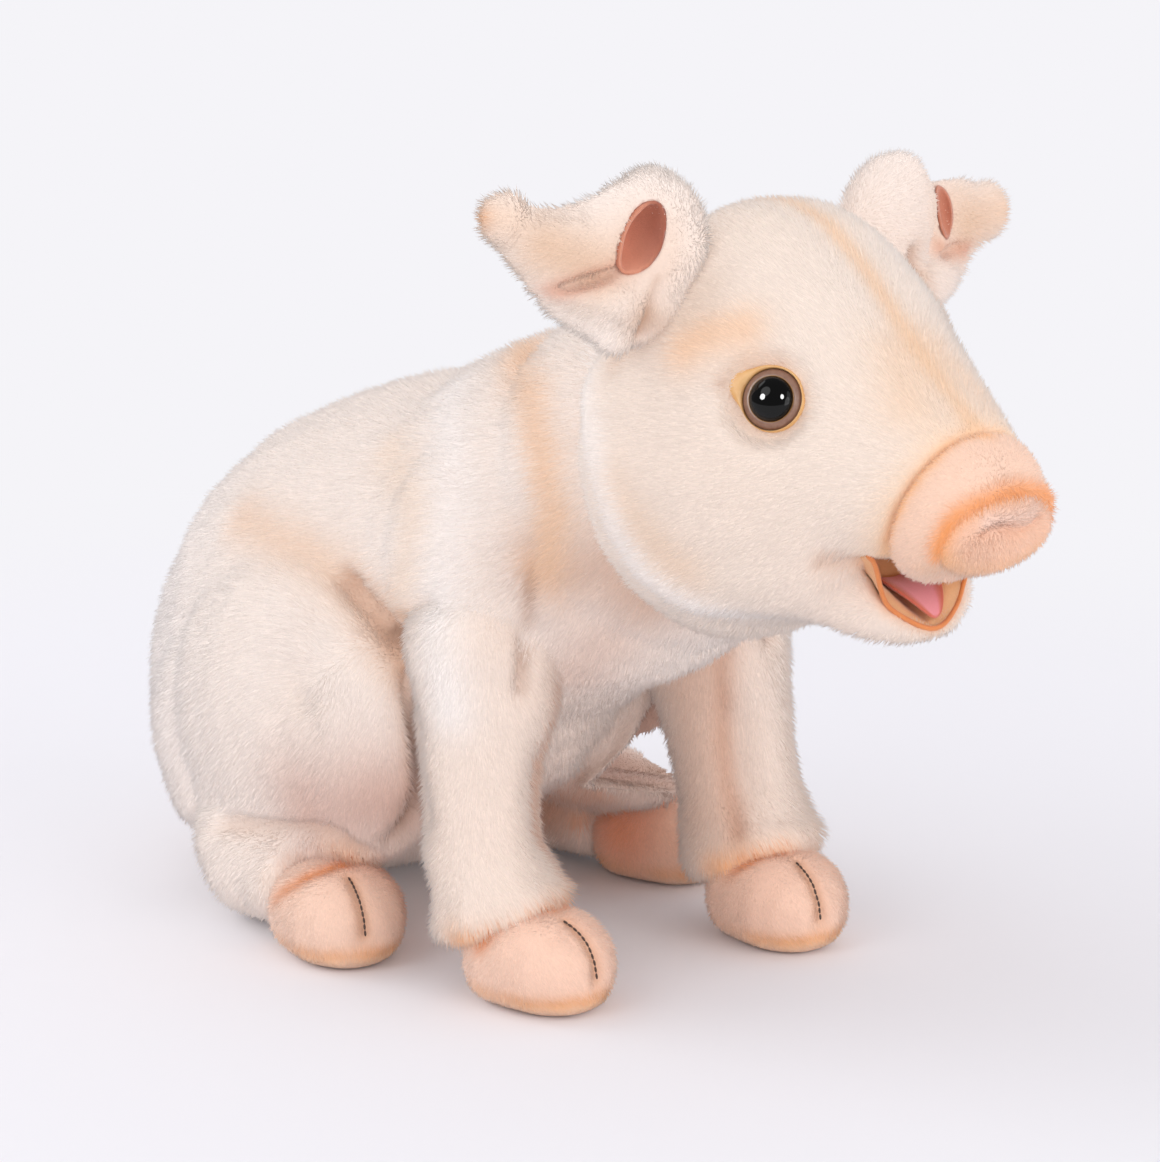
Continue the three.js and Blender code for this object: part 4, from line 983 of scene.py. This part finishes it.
# Front legs and body
# Sleeves of cream plush cover the front legs and flare into a cuff above each hoof.
# One sewn skin runs on over belly, haunches and hind legs. A tuft draws in each thigh.
leg_covers = {}
for side_name, side in (("right", -1), ("left", 1)):
    mesh = open_copy([f"front_leg_{side_name}"], grow=0.0008)
    leg = sewn_shut(from_mesh(f"front_leg_cover_{side_name}", mesh), voxel=2.0, rounds=5)
    leg_crease = [(-48, -157, 132), (-48, -155, 123), (-46, -152, 111), (-47, -151, 103), (-48, -152, 94)]
    leg_seam = [(-33, -146, 98), (-35, -145, 75), (-37, -143, 62), (-38, -145, 46), (-36, -151, 35)]
    shaped(leg, [(leg_crease, 2.6, -2.0), (leg_seam, 2.5, -1.2), ([(-38, -151, 66), (-38, -152, 50)], 10, -4.5),
                 ([(-69, -124, 28), (-67, -118, 18)], 9, -6.5),
                 ([(-57, -106, 104), (-61, -113, 92), (-65, -121, 80), (-64, -123, 66), (-66, -127, 54)], 8, -4.2),
                 ([(-66, -150, 28), (-56, -158, 33), (-46, -162, 35), (-36, -158, 33)], 4.5, 1.8),
                 ([(-60, -155, 21), (-50, -159, 24), (-42, -161, 25), (-34, -158, 24)], 5, -4)])
    leg_covers[side_name] = leg


def buried(points, other, depth):
    """For every point, 1 where it lies deeper than a depth in mm inside another cover, else 0."""
    tree = BVHTree.FromObject(other, bpy.context.evaluated_depsgraph_get())
    inside = np.zeros(len(points))
    for i, point in enumerate(points):
        spot, way, _, far = tree.find_nearest(Vector(point) * 0.001, 0.06)
        if spot is not None and (Vector(point) * 0.001 - spot).dot(way) < 0 and far > depth * 0.001:
            inside[i] = 1
    return inside


body_nodes = ["torso", "neck", "thigh_right", "thigh_left", "hind_leg_right", "hind_leg_left"]
mesh = open_copy(body_nodes, grow=0.0007)
for side in (-1, 1):
    add_mass(mesh, (side * 37, -121, 118), (26, 30, 42), (-14, 0, 0))
    add_mass(mesh, (side * 52, -5, 55), (18, 24, 33))
body_cover = sewn_shut(from_mesh("body_cover", mesh), voxel=1.9, rounds=17)
thigh_fold = [(-57, -81, 114), (-58, -101, 104), (-60, -112, 97), (-57, -115, 82), (-52, -110, 63),
              (-56, -111, 49), (-56, -103, 40)]
thigh_rim = [(-49, -17, 122), (-55, -56, 119)] + thigh_fold[:3]
flank_fold = [(-60, -108, 106), (-63, -119, 109), (-63, -127, 115)]
under_fold = [(-75, -41, 33), (-73, -60, 36), (-71, -79, 40), (-69, -90, 40), (-61, -93, 35)]
tuft = (-77.0, -83.0, 83.0)
# Creases run out from the tuft like a star
star = [[tuft, end] for end in ((-67, -84, 104), (-74, -60, 92), (-75, -95, 68), (-68, -106, 80), (-79, -72, 66))]
arm_fold = [(-50, -158, 132), (-48.5, -156, 123), (-47, -153, 112)]
before = places(body_cover)
shaped(body_cover, [(thigh_fold, 3.8, -4.8), (flank_fold, 2.6, -1.8), (under_fold, 3.2, -2.2), ([tuft], 9, -0.6),
                    ([(-62, -119, 102), (-57, -122, 84), (-51, -117, 66), (-52, -114, 50)], 7, -4.5),
                    ([(0, -72, 180), (-20, -76, 168)], 15, -2.6),
                    ([(-56, 10, 24), (-65, -6, 30), (-71, -20, 34)], 6, 2.6),
                    ([(-76, -28, 14), (-70, -22, 10)], 9, -2.6),
                    ([(-77, -61, 17), (-74, -72, 26), (-68, -84, 29), (-62, -92, 28)], 6, 2.0),
                    ([(-43, -97, 153), (-47, -94, 143), (-52, -94, 134), (-54, -95, 122)], 5, 1.5),
                    (arm_fold, 2.6, -2.0)]
       + [(line, 3.0, -0.4) for line in star]
       + [([(-72, -98, 92), (-68, -96, 100)], 7, 1.6), ([(-72, -70, 104)], 10, 1.2), ([(-70, -100, 60)], 9, 1.2)])
spots = places(body_cover)
lumps = (np.sin(spots @ [0.31, 0.12, 0.05]) * np.sin(spots @ [-0.06, 0.27, 0.16] + 1)
         * np.sin(spots @ [0.04, -0.12, 0.33] + 2))
spots = spots + 0.5 * lumps[:, None] * outward(body_cover)
# The left thigh sits back, so that the floor shows between the legs: its front keeps within a limit at each height
forward_left = np.array([0.766, -0.643, 0])
away = spots @ forward_left
limit = np.interp(spots[:, 2], [34, 43, 48, 58, 75, 85, 96], [160, 77, 82, 92, 104, 116, 160])
limit = limit + 60 * (1 - np.clip((spots[:, 1] + 124) / 12, 0, 1)) + 60 * (1 - np.clip(spots[:, 0] / 16, 0, 1))
drawn = 0.93 * 4 * np.log1p(np.exp((away - limit) / 4))
spots = spots - drawn[:, None] * forward_left
# The top of the left hind foot is low, so that the window between the legs stays open
foot_top = np.clip((away - drawn - 62) / 12, 0, 1) * np.clip(spots[:, 0] / 12, 0, 1)
spots[:, 2] -= foot_top * np.interp(spots[:, 2], [24, 38, 46, 84], [0, 5.5, 5.5, 0])
moved(body_cover, spots)
dye_and_painted_light = sprayed_dye_and_painted_light("f8e9de", [
    # Painted highlight over the haunch
    ([(-30, 40, 90), (-45, 10, 60)], 42, 0.8, "fbf2ed"),
    # Painted shade low on the thigh, in front of the fold
    ([(-68, -84, 50), (-62, -105, 56)], 18, 0.85, "d0a391"),
    # Painted shade on the chest under the chin
    ([(-46, -162, 131), (-42, -181, 133), (-33, -186, 123)], 15, 0.75, "dcb59d"),
    # Painted shade on the chest between the front legs, and in the crease of the arm fold
    ([(-30, -153, 91), (-31, -166, 105)], 14, 0.6, "e2bfad"), (arm_fold, 2.6, 0.8, "ae8064"),
    ([(-41, -83, 152), (-58, -116, 143), (-61, -119, 133), (-63, -119, 122)], 9, 0.35, "f0cdab"),
    # Peach dye by the flank fold; painted shade under the belly
    ([(-60, -108, 112), (-62, -114, 104)], 9, 0.6, "f0c8a6"), ([(0, -60, 22), (-20, -70, 30)], 40, 0.5, "f6d8ca"),
    # Airbrushed peach and brown along the thigh rim and fold, with a dark line of painted shade in the fold
    (thigh_rim, 9, 0.55, "eec39f"), (thigh_fold, 4.5, 0.5, "c4967a"), (thigh_fold[1:], 1.7, 0.8, "7f5439"),
    # Painted shade in the flank fold and in the fold under the thigh
    (flank_fold, 1.6, 0.7, "8a5c40"), (under_fold, 3.5, 0.45, "cfae98"),
    ([(-17, -115, 184), (-42, -151, 177), (-49, -164, 163), (-49, -169, 148), (-46, -162, 131)], 8, 0.75, "f3c49c"),
    # Painted highlight down the shoulder ridge
    ([(-28, -97, 171), (-46, -118, 158), (-55, -129, 142), (-62, -131, 114)], 9, 0.65, "fdf5f0"),
    ([(-80, -72, 22), (-78, -82, 28), (-66, -86, 30), (-52, -82, 28)], 6, 0.7, "f4c294"),
    ([(-82, -72, 20), (-78, -82, 28), (-66, -86, 30), (-52, -82, 28), (-44, -66, 18)], 3, 0.6, "ee9f62"),
    # Painted shade on the inner side of the hind foot
    ([(-40, -55, 20), (-34, -72, 30), (-34, -86, 34)], 11, 0.8, "e0a583"),
    # Painted shade in the tuft's pucker
    ([tuft], 9, 0.2, "ead3c1")], before)
comb = np.tile([0.0, 0.85, -0.55], (len(spots), 1))
low = np.clip((120 - spots[:, 2]) / 60, 0, 1)[:, None]
comb = comb * (1 - low) + low * np.array([0.0, 0.35, -1.0])
from_tuft = folded(spots) - np.array(tuft)
far_off = np.linalg.norm(from_tuft, axis=1)
radial = from_tuft / np.maximum(far_off, 1)[:, None] * own_side(spots)
comb = comb + 1.1 * (np.exp(-(far_off / 26) ** 2) * np.clip(far_off / 12, 0, 1))[:, None] * radial
comb[:, 2] *= np.clip((spots[:, 2] - 4) / 12, 0, 1)
folds = [thigh_fold, flank_fold, under_fold]
in_fold = np.minimum.reduce([near_line(folded(before), line) for line in folds])
comb = parted(before, comb, folds, 4.5, 2.5)
ankle = np.exp(-(near_line(folded(spots), crown["hind"]) / 9) ** 2)
comb = comb + ankle[:, None] * np.array([0, -1.5, -0.4])
length = (1 + 0.5 * ankle) * np.clip(in_fold / 6, 0.18, 1) * np.clip(spots[:, 2] / 9, 0.1, 1)
length = length * (1 - 0.5 * np.clip(drawn / 6, 0, 1))
hidden = np.maximum.reduce([buried(spots, head_cover, 5)] + [buried(spots, leg, 4) for leg in leg_covers.values()])
dress(body_cover, dye_and_painted_light, comb, length)
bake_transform(body_cover)
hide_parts(*body_nodes)
for side_name, chosen in (("right", spots[:, 0] < 0), ("left", spots[:, 0] >= 0)):
    for end, part in (("rump", spots[:, 1] > -55), ("chest", spots[:, 1] <= -55)):
        pile = pile_on(body_cover, f"body_pile_{end}_{side_name}", cream_pile, density=1.35, length=4.6,
                       grows=(1 - hidden) * chosen * part, thickness=0.24, lean=1.15)
        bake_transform(pile)

for side_name, side in (("right", -1), ("left", 1)):
    leg = leg_covers[side_name]
    spots = places(leg)
    dye_and_painted_light = sprayed_dye_and_painted_light("f6e3d5", [
        # Painted shade along the pressed inner seam and in the crease at the top of the leg
        (leg_seam, 4.5, 0.8, "cf9b7e"), (leg_crease, 2.4, 0.75, "b88c70"),
        # Painted shade on the inner side of the leg
        ([(-28, -140, 95), (-28, -140, 40)], 12, 0.6, "e4bfa8"),
        # Painted highlight high on the outside of the leg, under the shoulder; slightly darker lower down
        ([(-62, -131, 114), (-65, -139, 88)], 9, 0.7, "fff9f5"), ([(-60, -140, 50)], 16, 0.25, "f3dccd"),
        ([(-67, -148, 21), (-56, -155, 25), (-46, -160, 27), (-36, -156, 26), (-28, -148, 23)],
         5.5, 0.85, "f8b070")], spots)
    comb = np.tile([0.0, -0.1, -1.0], (len(spots), 1))
    hidden = buried(spots, body_cover, 4)
    cuff = np.exp(-((spots[:, 2] - 36) / 12) ** 2) * np.clip((-140 - spots[:, 1]) / 12, 0, 1)
    dress(leg, dye_and_painted_light, parted(spots, comb, [leg_crease], 3.5, 2.0) + cuff[:, None] * np.array([0, -0.9, 0]),
          np.clip(near_line(folded(spots), leg_crease) / 4, 0.25, 1) * (1 + 0.5 * cuff))
    pile = pile_on(leg, f"front_leg_pile_{side_name}", cream_pile, density=1.7, length=4.6,
                   grows=1 - hidden, thickness=0.22, lean=1.25, seed=17)
    for obj in (leg, pile):
        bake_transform(obj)
    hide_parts(f"front_leg_{side_name}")
